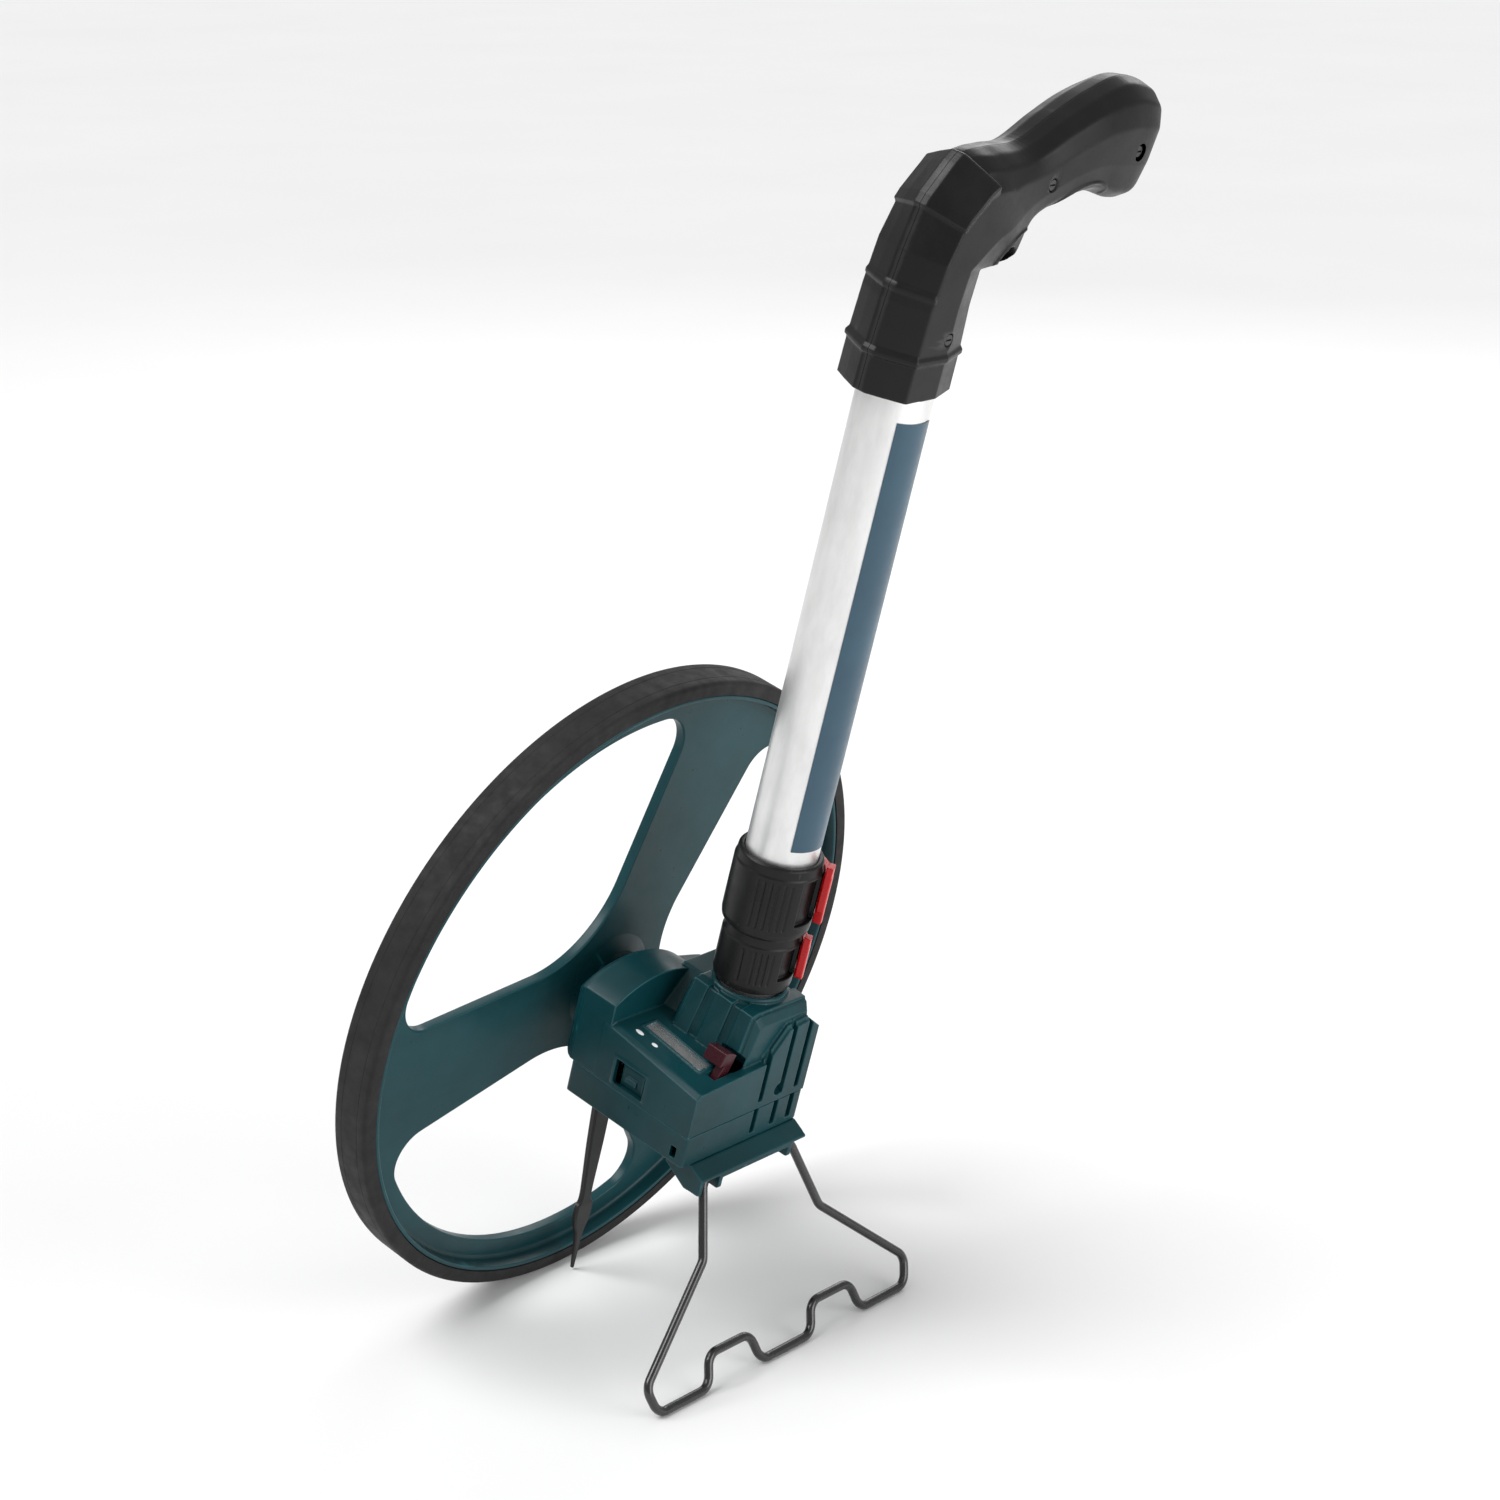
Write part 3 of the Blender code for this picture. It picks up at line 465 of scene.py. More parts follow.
def finish_piece(obj, body, slot, *nodes, sharp_deg=35.0):
    """Places a piece in the row frame, gives it to its body, and says which CAD nodes it stands for."""
    if obj.type == "MESH":
        obj.data.shade_smooth()
        obj.data.set_sharp_from_angle(angle=math.radians(sharp_deg))
    obj.matrix_world = STANCE
    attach(obj, body)
    if nodes:
        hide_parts(*nodes)
    return obj


def melt(obj, voxel, rounds=4, keep=0.4):
    """Remakes a piece as one skin with softly rounded edges and corners, as plastic leaves its mould."""
    remesh = obj.modifiers.new("melt", "REMESH")
    remesh.mode = "VOXEL"
    remesh.voxel_size = voxel * MM * 1.0
    smooth = obj.modifiers.new("smooth", "SMOOTH")
    smooth.factor = 0.5
    smooth.iterations = rounds
    thin = obj.modifiers.new("thin", "DECIMATE")
    thin.ratio = keep
    return apply(obj)


def mix(a, b, t):
    return a + (b - a) * t


# ---------------------------------------------------------------- wheel


TYRE_RADIUS = 159.15
TYRE_WIDTH = 20.6
RIM_RADIUS = 151.9
WINDOW_RADIUS = 139.5
WINDOW_TIP = 23.4
WINDOW_HALF_ANGLE = math.radians(55.0)
WINDOW_FILLETS = (53.0, 16.0)
FIRST_WINDOW_DEG = 8.4


def window_outline(centre_deg):
    """One wheel opening: two spoke edges, a wide inner fillet, two outer fillets and the rim arc."""
    half = WINDOW_HALF_ANGLE
    inner, outer = WINDOW_FILLETS
    inner_centre = WINDOW_TIP + inner / math.sin(half)
    reach = WINDOW_RADIUS - outer
    start = WINDOW_TIP + outer / math.sin(half)
    run = -start * math.cos(half) + math.sqrt(reach**2 - (start * math.sin(half)) ** 2)
    corner = (start + run * math.cos(half), run * math.sin(half))
    edge_deg = 90 + math.degrees(half)
    rim_deg = math.degrees(math.atan2(corner[1], corner[0]))
    upper = arc((inner_centre, 0), inner, 180, edge_deg, 24)
    upper += arc(corner, outer, edge_deg, rim_deg, 24)
    rim = arc((0, 0), WINDOW_RADIUS, rim_deg, -rim_deg, 72)[1:-1]
    lower = [(u, -v) for u, v in reversed(upper[1:])]
    turn = math.radians(centre_deg)
    return [
        (u * math.cos(turn) - v * math.sin(turn), u * math.sin(turn) + v * math.cos(turn))
        for u, v in upper + rim + lower
    ]


def plate(name, outlines, thickness, edge, surface):
    """A flat plate across X with openings and rounded edges, centred on x = 0."""
    curve = bpy.data.curves.new(name, "CURVE")
    curve.dimensions = "2D"
    curve.fill_mode = "BOTH"
    curve.extrude = (thickness / 2 - edge) * MM
    curve.bevel_depth = edge * MM
    curve.bevel_resolution = 3
    curve.offset = -edge * MM
    for outline in outlines:
        spline = curve.splines.new("POLY")
        spline.points.add(len(outline) - 1)
        for point, (u, v) in zip(spline.points, outline):
            point.co = (u * MM, v * MM, 0, 1)
        spline.use_cyclic_u = True
    obj = bpy.data.objects.new(name, curve)
    bpy.context.scene.collection.objects.link(obj)
    bpy.context.view_layer.update()
    mesh = bpy.data.meshes.new_from_object(obj.evaluated_get(bpy.context.evaluated_depsgraph_get()))
    bpy.data.objects.remove(obj, do_unlink=True)
    mesh.transform(AXES["x"].to_4x4())
    mesh.materials.clear()
    mesh.materials.append(surface)
    made = bpy.data.objects.new(name, mesh)
    bpy.context.scene.collection.objects.link(made)
    return made


def make_wheel():
    petrol = MATERIALS["petrol_plastic"]
    side, top = -TYRE_WIDTH, TYRE_RADIUS
    tread = [(side, RIM_RADIUS + 0.3), (side, top)]
    for groove in (-15.6, -5.6):
        tread += [(groove, top), (groove + 0.15, top - 0.12)]
        tread += [(groove + 0.55, top - 0.12), (groove + 0.7, top)]
    tread += [(0, top), (0, RIM_RADIUS + 0.3)]
    radii = [0.2, 2.2] + [0] * 8 + [2.2, 0.2]
    ring = turned("x", (0, 0), rounded(tread, radii, 5), 240)
    tyre = mesh_object("tyre_skin", ring, MATERIALS["tyre_rubber"])
    finish_piece(tyre, "wheel", "tyre_rubber", "tyre")

    web_middle, web = -10.5, 5.4
    disc = plate(
        "wheel_disc_skin",
        [circle((0, 0), 149, 240), circle((0, 0), 20, 96)]
        + [window_outline(FIRST_WINDOW_DEG + 120 * i) for i in range(3)],
        web,
        0.9,
        petrol,
    )
    disc.data.transform(Matrix.Translation((web_middle * MM, 0, 0)))
    inner = RIM_RADIUS - 1.9
    rim = [
        (0.3 - TYRE_WIDTH, RIM_RADIUS),
        (-0.3, RIM_RADIUS),
        (-0.3, inner),
        (web_middle + web / 2, inner - 0.6),
        (web_middle + web / 2 - 0.2, 143.5),
        (web_middle - web / 2 + 0.2, 143.5),
        (web_middle - web / 2, inner - 0.6),
        (0.3 - TYRE_WIDTH, inner),
    ]
    rim_ring = turned("x", (0, 0), rounded(rim, [0.5, 0.5, 0.7, 2.2, 0.1, 0.1, 2.2, 0.7], 4), 240)
    hub = [
        (-17.0, 4.3),
        (-17.0, 12.5),
        (-16.2, 12.5),
        (-16.2, 25.0),
        (web_middle - web / 2 - 0.1, 31.0),
        (web_middle, 31.5),
        (web_middle + web / 2 + 0.1, 25.0),
        (-4.4, 18.0),
        (-4.4, 12.5),
        (-2.5, 11.5),
        (-2.5, 4.3),
    ]
    hub_ring = turned("x", (0, 0), rounded(hub, 0.9, 3), 120)
    join(disc, mesh_object("rim", rim_ring, petrol), mesh_object("hub", hub_ring, petrol))
    finish_piece(disc, "wheel", "petrol_plastic", "wheel_disc")

    cap = [(-17.3, 17.0), (-17.3, 19.5), (-20.2, 18.9), (-20.5, 17.8)]
    cap += [(-23.4, 17.4), (-24.2, 12.6), (-25.2, 12.2)]
    cap += [(-25.6, 0), (-23.6, 0), (-23.0, 15.5)]
    skin = turned("x", (0, 0), rounded(cap, [0.3, 0.4, 0.5, 0.4, 1.2, 0.5, 0.5, 0, 0, 0.5], 4), 96)
    finish_piece(mesh_object("hub_cap_skin", skin, petrol), "wheel", "petrol_plastic", "hub_cap")


# ---------------------------------------------------------------- counter housing


HOUSING_SPLIT = -15.0
HOUSING_FRONT = -45.0
HOUSING_BACK = 35.5
HOUSING_END = 90.0
HOUSING_LOW = -31.0
HUMP_HIGH = 34.0
POLE = (62.5, 12.0)
COUNTER = (-27.0, -2.0)
LOW_TUBE_RADIUS = 13.6
END_GROOVES = (2.3, 16.4, 27.7)
STAND_PIVOT = (92.6, -39.6)
WIRE_RADIUS = 2.25


def housing_profile(x, inset=0.0):
    """The cover's section across the axle at one place: a display panel, a slope and a plateau."""
    share = (x - HUMP_HIGH) / (HOUSING_END - HUMP_HIGH)
    inner = [(-45, 13), (-42, 14.6), (-10, 14.6), (4, 31), (28, 31), (HOUSING_BACK, 25)]
    outer = [(-45, 5.5), (-42, 7.5), (2, 9.5), (14, 24), (28, 25.5), (HOUSING_BACK, 20)]
    points = [(mix(a[0], b[0], share), mix(a[1], b[1], share) - inset) for a, b in zip(inner, outer)]
    floor = HOUSING_SPLIT + 0.15
    return [(points[0][0], floor), *points, (points[-1][0], floor)]


def panel_height(x, y):
    """The display panel's height at a place on it."""
    share = (x - HUMP_HIGH) / (HOUSING_END - HUMP_HIGH)
    along_panel = (y + 42) / mix(32, 44, share)
    return mix(mix(14.6, 7.5, share), mix(14.6, 9.5, share), along_panel)


def hump_ring(x, shrink, grow=0.0):
    """The rounded cover over the gears, next to the wheel, in section at one place."""
    centre, radius = (-14.7, -21.6), 54.3 + grow
    front, back, floor = HOUSING_FRONT - grow, HOUSING_BACK + grow, HOUSING_SPLIT + 0.2
    start_deg = math.degrees(math.acos((front - centre[0]) / radius)) - 0.5
    section = [(front, floor), *arc(centre, radius, start_deg, 52, 40), (back, 17), (back, floor)]
    middle = (front + back) / 2
    return [(x, middle + (y - middle) * shrink, floor + (z - floor) * shrink) for y, z in section]


def saddle_ring(x, grow=0.0):
    """The raised saddle in front of the pole, in section at one place."""
    share = (x - 44) / 40
    front, brow, top = mix(-16.5, -12.0, share), mix(-7.6, -6.6, share), mix(35.0, 32.5, share)
    section = [(front - grow * 1.2, 6), (front - grow * 1.2, mix(13.8, 10.5, share))]
    section += [(brow - grow, top + grow)]
    section += [(brow + 3, top + grow + 0.8), (29 + grow * 0.3, top + grow), (32, 20), (32, 6)]
    return [(x, y, z) for y, z in section]


def make_housing_cover():
    petrol = MATERIALS["petrol_plastic"]
    rings = [[(x, y, z) for y, z in housing_profile(x)] for x in (HUMP_HIGH - 4, HOUSING_END)]
    cover = mesh_object("housing_cover_skin", loft(rings), petrol)
    hump = [(7.0, 0.84), (9.5, 0.905), (12.0, 0.96), (15.0, 1.0), (HUMP_HIGH, 1.0)]
    boss = [(12, 0), (12, 18.0), (36.4, 18.0), (37.2, 17.2), (37.2, 0)]
    saddle = [saddle_ring(x) for x in (43.0, 46.0, 84.0, 86.5)]
    for ring, lower in ((saddle[0], 5.0), (saddle[3], 4.0)):
        ring[:] = [(x, y + (lower * 0.4 if y < 10 else -1), z - lower if z > 12 else z) for x, y, z in ring]
    shells = [loft([hump_ring(x, shrink) for x, shrink in hump]), turned("z", POLE, boss), loft(saddle)]
    for x, wide in ((51.5, 8.0), (65.5, 9.5), (79.0, 7.5)):
        shells.append(loft([saddle_ring(x + shift, 1.3) for shift in (-wide / 2, wide / 2)]))
    end_strap_x = 86.0
    strap = housing_profile(end_strap_x)[3:6]
    section = [(y, z + 1.25) for y, z in strap] + [(y, z - 5.0) for y, z in reversed(strap)]
    shells.append(loft([[(end_strap_x + shift, y, z) for y, z in section] for shift in (-4.5, 2.5)]))
    front = HOUSING_FRONT - 0.45
    for low, high in (((40.4, -12.5), (41.6, 1.6)), ((59.9, -12.5), (61.1, 1.6)), ((40.4, 0.4), (61.1, 1.6))):
        shells.append(block((low[0], front, low[1]), (high[0], -43, high[1])))
    window_frame = []
    border = ((-32.2, -3), (-32.2, 0.7), (-22.5, 0.9), (-22.5, -3))
    for x in (41.4, 78.6):
        top = mix(panel_height(x, -31.5), panel_height(x, -23.2), 0.5)
        window_frame.append([(x, y, top + z) for y, z in border])
    shells.append(loft(window_frame))
    for shell in shells:
        combine(cover, shell, "UNION", "MANIFOLD")
    window = [(42.5, -31.2), (77.5, -31.2), (77.5, -23.6), (42.5, -23.6)]
    inside = [[(x, y, z) for y, z in housing_profile(x, 3.0)] for x in (HUMP_HIGH - 1, HOUSING_END - 4.5)]
    for ring in inside:
        ring[:] = [(x, y * 0.945, z if z > -14 else z - 8) for x, y, z in ring]
    cuts = [
        loft(inside),
        prism("z", window, 0, 22),
        block((79.6, -29, 0), (85.0, -13, 22)),
        prism("x", arc(COUNTER, 23.6, 22, 80, 20) + arc(COUNTER, 14.6, 80, 22, 20), 72.7, 85.6),
        block((41.6, -50, -12.5), (59.9, -40.5, 0.4)),
        cylinder("x", (16, -8.5), 3.2, HOUSING_END - 6, HOUSING_END + 5),
        cylinder("x", (0, 0), 9.3, 3, 12),
        cylinder("z", POLE, LOW_TUBE_RADIUS + 2.6, 5, 50, 64),
    ]
    cuts += [block((HOUSING_END - 3.2, y - 0.4, -11.3), (HOUSING_END + 3, y + 2.6, 45)) for y in END_GROOVES]
    for cut in cuts:
        combine(cover, cut, solver="MANIFOLD")
    melt(cover, 0.36, 4, 0.35)
    finish_piece(cover, "frame", "petrol_plastic", "housing_cover", sharp_deg=50)


def make_housing_base():
    petrol = MATERIALS["petrol_plastic"]
    top = HOUSING_SPLIT - 0.15
    corners = [(16, HOUSING_FRONT), (HOUSING_END, HOUSING_FRONT)]
    corners += [(HOUSING_END, HOUSING_BACK), (16, HOUSING_BACK)]
    outline = rounded(corners, 2.0)
    base = mesh_object("housing_base_skin", prism("z", outline, HOUSING_LOW, top), petrol)
    tab = block((44, HOUSING_FRONT + 2.7, HOUSING_LOW + 1), (57.5, HOUSING_FRONT + 4.7, -2))
    lip = block((47.5, HOUSING_FRONT + 1.4, -9.5), (54.0, HOUSING_FRONT + 3.5, -6.5))
    cuts = [block((18.5, -42.5, -28.5), (85.0, 33, 0)), block((81.6, -48, -28.4), (85.0, -38, -22.8))]
    cuts += [block((HOUSING_END - 2.8, y - 1.4, -28), (HOUSING_END + 3, y + 1.8, -10)) for y in END_GROOVES]
    for cut in cuts:
        combine(base, cut)
    for shell in (tab, lip):
        combine(base, shell, "UNION")
    for x, y in ((24, -36), (24, 27), (74, -36), (74, 27)):
        combine(base, cylinder("z", (x, y), 3.9, HOUSING_LOW + 0.5, top), "UNION")
        combine(base, cylinder("z", (x, y), 2.9, HOUSING_LOW - 5, HOUSING_LOW + 2.2))
    melt(base, 0.4, 4, 0.3)
    finish_piece(base, "frame", "petrol_plastic", "housing_base", sharp_deg=50)


def make_stand_bracket():
    outline = rounded([(76, -31.3), (90.5, -31.3), (98.5, -35.5), (98.5, -43.8), (89, -44.2), (76, -37)], 1.0)
    bracket = mesh_object("stand_bracket_skin", prism("y", outline, -38.5, 34.5), MATERIALS["petrol_plastic"])
    combine(bracket, block((93.6, -23, -45), (100, 23, -38.4)))
    x, z = STAND_PIVOT
    for side in (-1, 1):
        y0, y1 = sorted((side * 25.5, side * 36.5))
        combine(bracket, block((60, y0, -70), (110, y1, z + WIRE_RADIUS + 0.6)))
        inner, outer = sorted((side * 16.4, side * 28.0))
        combine(bracket, cylinder("y", (x, z), WIRE_RADIUS + 0.4, inner, outer))
    melt(bracket, 0.3, 4, 0.3)
    finish_piece(bracket, "frame", "petrol_plastic", "stand_bracket", sharp_deg=50)


def make_display():
    rings = []
    places = [(42.8, -0.5), (43.2, 0.0), (76.8, 0.0), (77.2, -0.5)]
    for x, drop in places:
        top = panel_height(x, -27.4) + 0.9 + drop
        section = [(-30.9, -2.4), (-30.9, -0.3), (-30.2, 0.15), (-27.4, 0.35)]
        section += [(-24.6, 0.15), (-23.9, -0.3), (-23.9, -2.4)]
        rings.append([(x, y, top + z) for y, z in section])
    lens = mesh_object("display_window_skin", loft(rings), MATERIALS["clear_window"])
    finish_piece(lens, "frame", "clear_window", "display_window")
    for i, (x, y, wide, tall) in enumerate(((44.4, -36.6, 2.5, 1.25), (54.2, -36.7, 1.7, 1.1)), 1):
        rings = []
        for lift, share in ((-0.2, 1.0), (0.05, 1.0), (0.14, 0.9)):
            spots = [(x + u * wide * share, y + v * tall * share) for u, v in circle((0, 0), 1.0, 40)]
            rings.append([(u, v, panel_height(u, v) + lift) for u, v in spots])
        finish_piece(mesh_object(f"panel_mark_{i}", loft(rings), MARK_WHITE), "frame", "digit_drum")


def digit_mesh(digit, size):
    """One numeral as a flat mesh in metres, sliced so that it can be wrapped on a drum."""
    text = bpy.data.curves.new("digit", "FONT")
    text.body = str(digit)
    text.size = size * MM
    text.align_x = "CENTER"
    text.align_y = "CENTER"
    obj = bpy.data.objects.new("digit", text)
    bpy.context.scene.collection.objects.link(obj)
    bpy.context.view_layer.update()
    mesh = bpy.data.meshes.new_from_object(obj.evaluated_get(bpy.context.evaluated_depsgraph_get()))
    bpy.data.objects.remove(obj, do_unlink=True)
    bm = bmesh.new()
    bm.from_mesh(mesh)
    for i in range(-6, 7):
        geometry = bm.verts[:] + bm.edges[:] + bm.faces[:]
        bmesh.ops.bisect_plane(bm, geom=geometry, plane_co=(0, i * size * MM / 12, 0), plane_no=(0, 1, 0))
    bm.to_mesh(mesh)
    bm.free()
    return mesh


def make_drums():
    radius, width, pitch, first = 7.6, 6.5, 7.0, 42.0
    numerals = [digit_mesh(digit, 6.0) for digit in range(10)]
    drums = (
        ("thousands", "thousands_drum"),
        ("hundreds", "hundreds_drum"),
        ("tens", "tens_drum"),
        ("units", "units_drum"),
        ("tenths", "counter_drive"),
    )
    for place, (name, body) in enumerate(drums):
        low = first + place * pitch
        section = [(low, 2.1), (low, radius), (low + width, radius), (low + width, 2.1)]
        ring = turned("x", COUNTER, rounded(section, [0.1, 0.3, 0.3, 0.1], 3), 96)
        drum = mesh_object(f"drum_{name}_skin", ring, MATERIALS["digit_drum"])
        bm = bmesh.new()
        for digit, numeral in enumerate(numerals):
            part = bmesh.new()
            part.from_mesh(numeral)
            for vert in part.verts:
                angle = math.pi / 2 - vert.co.y / MM / radius + math.radians(36 * digit)
                across, up = (radius + 0.04) * math.cos(angle), (radius + 0.04) * math.sin(angle)
                vert.co = Vector((low + width / 2 + vert.co.x / MM, COUNTER[0] + across, COUNTER[1] + up))
            made = bpy.data.meshes.new("wrapped")
            part.to_mesh(made)
            part.free()
            bm.from_mesh(made)
        join_digits = mesh_object(f"digits_{name}", bm, DIGIT_BLACK)
        finish_piece(join_digits, body, "digit_drum")
        finish_piece(drum, body, "digit_drum", f"drum_{name}")


def make_reset_lever():
    centre = COUNTER
    arm = [*arc(centre, 3.4, 150, -20, 12), *arc(centre, 20.0, 57, 73, 6)]
    pad = arc(centre, 15.6, 56, 86, 12) + list(reversed(arc(centre, 22.4, 58, 80, 12)))
    lever = mesh_object("reset_lever_skin", prism("x", arm, 80.2, 84.4), MATERIALS["reset_lever_plastic"])
    combine(lever, prism("x", rounded(pad, 1.6), 73.5, 84.4), "UNION")
    combine(lever, cylinder("x", centre, 4.6, 80.2, 84.4), "UNION")
    combine(lever, cylinder("x", centre, 2.1, 70, 95))
    melt(lever, 0.25, 5, 0.4)
    finish_piece(lever, "reset", "reset_lever_plastic", "reset_lever", sharp_deg=50)


# ---------------------------------------------------------------- pole


def make_tubes():
    sections = (
        ("lower_tube", "frame", 13.6, 10.0, 340.0),
        ("middle_tube", "middle_pole", 15.15, 44.5, 352.0),
        ("upper_tube", "top_pole", 16.75, 74.0, 368.0),
    )
    for name, body, radius, low, high in sections:
        inner = radius - 1.2
        profile = rounded([(low, inner), (low, radius), (high, radius), (high, inner)], 0.35, 3)
        tube = mesh_object(f"{name}_skin", turned("z", POLE, profile, 128), MATERIALS["anodised_aluminium"])
        finish_piece(tube, body, "anodised_aluminium", name)
    start_deg, end_deg, low, high, columns = -42.0, 24.0, 114.0, 321.0, 60
    inner, outer = 16.95, 17.2
    rings = []
    for i in range(columns + 1):
        turn = math.radians(mix(start_deg, end_deg, i / columns))
        section = ((inner, low), (outer, low), (outer, high), (inner, high))
        rings.append([(POLE[0] + r * math.cos(turn), POLE[1] + r * math.sin(turn), z) for r, z in section])
    label = mesh_object("pole_label_skin", loft(rings), MATERIALS["pole_label"])
    finish_piece(label, "top_pole", "pole_label", "pole_label")


LEVER_PIN_DEG = 118.0
LEVER_PIN_RADIUS = 22.2
KNUCKLE_RADIUS = 3.4


def make_collar(name, body, span, tube_radius, inner_radius, outer_radius):
    low, high = span
    profile = [
        (low, inner_radius + 0.3),
        (low, outer_radius - 0.5),
        (low + 3.0, outer_radius),
        (high - 5.6, outer_radius),
        (high - 5.0, outer_radius - 0.5),
        (high - 0.9, outer_radius - 0.9),
        (high, outer_radius - 1.9),
        (high, tube_radius + 0.3),
        (low + 4.2, tube_radius + 0.3),
        (low + 4.2, inner_radius + 0.3),
    ]
    radii = [0.2, 0.6, 1.5, 0.3, 0.3, 0.5, 0.6, 0.3, 0.2, 0.2]
    ring = turned("z", POLE, rounded(profile, radii, 3), 128)
    collar = mesh_object(f"{name}_skin", ring, MATERIALS["black_plastic"])
    pin = arc(POLE, LEVER_PIN_RADIUS, LEVER_PIN_DEG, LEVER_PIN_DEG + 1, 1)[0]
    ear = arc(pin, 4.2, LEVER_PIN_DEG - 80, LEVER_PIN_DEG + 80, 24)
    ear += arc(POLE, tube_radius + 1.5, LEVER_PIN_DEG + 12, LEVER_PIN_DEG - 12, 4)
    for ear_low, ear_high in ((low + 1.5, low + 5.5), (high - 5.5, high - 1.5)):
        combine(collar, prism("z", ear, ear_low, ear_high), "UNION")
    combine(collar, cylinder("z", pin, KNUCKLE_RADIUS + 0.35, low + 5.5, high - 5.5))
    combine(collar, cylinder("z", POLE, tube_radius + 0.3, low + 4.2, high + 5, 128))
    combine(collar, cylinder("z", pin, 1.8, low - 5, high + 5))
    pocket = arc(POLE, outer_radius - 2.3, -14, 30, 24)
    pocket += reversed(arc(POLE, outer_radius + 5, -14, 30, 24))
    combine(collar, prism("z", pocket, low + 7.0, high - 6.5))
    for turn in range(-76, -30, 9):
        rib = arc(POLE, outer_radius - 0.55, turn, turn + 3, 2)
        rib += arc(POLE, outer_radius + 3, turn + 3, turn, 2)
        combine(collar, prism("z", rib, low + 5.0, high - 7.5))
    melt(collar, 0.33, 3, 0.35)
    finish_piece(collar, body, "black_plastic", name, sharp_deg=50)
    return pin


def make_clamp_lever(name, body, span, outer_radius, pin, tab):
    low, high = span
    inner = outer_radius + 0.5
    shell = arc(POLE, inner, 24, LEVER_PIN_DEG - 6, 36)
    shell += reversed(arc(POLE, inner + 3.4, 32, LEVER_PIN_DEG - 6, 36))
    shell += arc(POLE, inner + 4.2, 32, 22, 4)
    middle = (low + high) / 2
    reach = (high - low) / 2 - 6.2
    plate_shape = prism("z", shell, middle - reach, middle + reach)
    lever = mesh_object(f"{name}_skin", plate_shape, MATERIALS["red_plastic"])
    lip = arc(POLE, inner + 0.8, 21, 35, 10) + list(reversed(arc(POLE, inner + 4.0, 21, 35, 10)))
    combine(lever, prism("z", lip, *tab), "UNION")
    combine(lever, cylinder("z", POLE, inner, low - 10, high + 20, 128))
    combine(lever, cylinder("z", pin, KNUCKLE_RADIUS, middle - reach, middle + reach), "UNION")
    combine(lever, cylinder("z", pin, 1.8, low - 10, high + 10))
    for offset in (-3.0, 0.0, 3.0):
        groove = arc(POLE, inner + 1.9, 44, 88, 16) + arc(POLE, inner + 4.0, 88, 44, 16)
        combine(lever, prism("z", groove, middle + offset - 0.5, middle + offset + 0.5))
    melt(lever, 0.28, 4, 0.4)
    finish_piece(lever, body, "red_plastic", name, sharp_deg=50)


def make_collars():
    sets = (
        ("upper", "top_pole", (69.5, 106.0), 16.75, 15.15, 20.6, (82.0, 105.0)),
        ("lower", "middle_pole", (39.5, 68.8), 15.15, 13.6, 18.4, (46.5, 67.0)),
    )
    for name, body, span, tube, inner, outer, tab in sets:
        pin = make_collar(f"{name}_collar", body, span, tube, inner, outer)
        make_clamp_lever(f"{name}_clamp_lever", f"{name}_lever", span, outer, pin, tab)


# ---------------------------------------------------------------- handle


# Each station of the handle: its rear or lower point, its front or upper point, its half width.
HANDLE_STATIONS = (
    ((33, 333), (-14.6, 333), 20.0),
    ((33, 350), (-13.6, 350), 20.0),
    ((32, 371), (-11, 373), 19.8),
    ((33, 386), (-7, 394), 19.8),
    ((45, 385), (-2, 413), 19.6),
    ((54, 386), (15, 431.5), 18.8),
    ((58, 396), (33, 434), 16.5),
    ((64, 404), (54, 435), 15.5),
    ((81, 410), (76, 445), 16.5),
    ((99, 412), (96, 453), 17.5),
    ((118, 407), (117, 458), 17.5),
    ((129, 408), (136, 454), 16.0),
    ((136, 421), (145, 446), 11.0),
)
FOOT_SECTION = ((0.4, -1.0), (0.74, -0.84), (0.99, -0.16), (0.95, 0.64), (0.55, 0.83), (0.15, 1.0), (0, 1.0))
GRIP_SECTION = ((0.5, -1.0), (0.9, -0.8), (1.0, -0.3), (1.0, 0.35), (0.8, 0.76), (0.42, 0.98), (0, 1.04))
CAP_SECTION = ((0.3, 0.1), (0.5, 0.3), (0.86, 0.5), (0.95, 0.64), (0.55, 0.83), (0.15, 1.0), (0, 1.0))
FOOT_ENDS = 4
HANDLE_SCREWS = ((66, 420, 15.8), (123, 430, 16.8), (13.6, 359, 19.6))


def spline(values, t):
    """Catmull-Rom through the stations' numbers; t counts in stations."""
    last = len(values) - 1
    i = min(int(t), last - 1)
    t -= i
    a, b, c, d = (values[max(0, min(last, i + step))] for step in (-1, 0, 1, 2))
    return 0.5 * (2 * b + (c - a) * t + (2 * a - 5 * b + 4 * c - d) * t * t + (3 * b - a - 3 * c + d) * t**3)


def handle_station(t):
    """The handle's station at any place: straight between the stations of its foot, curved on its grip."""
    flat = [(rear[0], rear[1], front[0], front[1], half) for rear, front, half in HANDLE_STATIONS]
    if t <= FOOT_ENDS:
        i = min(int(t), FOOT_ENDS - 1)
        made = [mix(a, b, t - i) for a, b in zip(flat[i], flat[i + 1])]
    else:
        made = [spline(column, t) for column in zip(*flat)]
    return (made[0], made[1]), (made[2], made[3]), made[4]


def handle_ring(station, section, grow=0.0, corner=1.0):
    (y0, z0), (y1, z1), half_width = station
    low, high = Vector((y0, z0)), Vector((y1, z1))
    up = (high - low).normalized()
    middle = (low + high) / 2
    tall = (high - low).length / 2 + grow
    wide = half_width + grow
    half = [(wide * a, tall * b) for a, b in section]
    ring = half + [(-a, b) for a, b in reversed(half[:-1])]
    ring = rounded(ring, corner, 4)
    return [(POLE[0] + a, *(middle + up * b)) for a, b in ring]


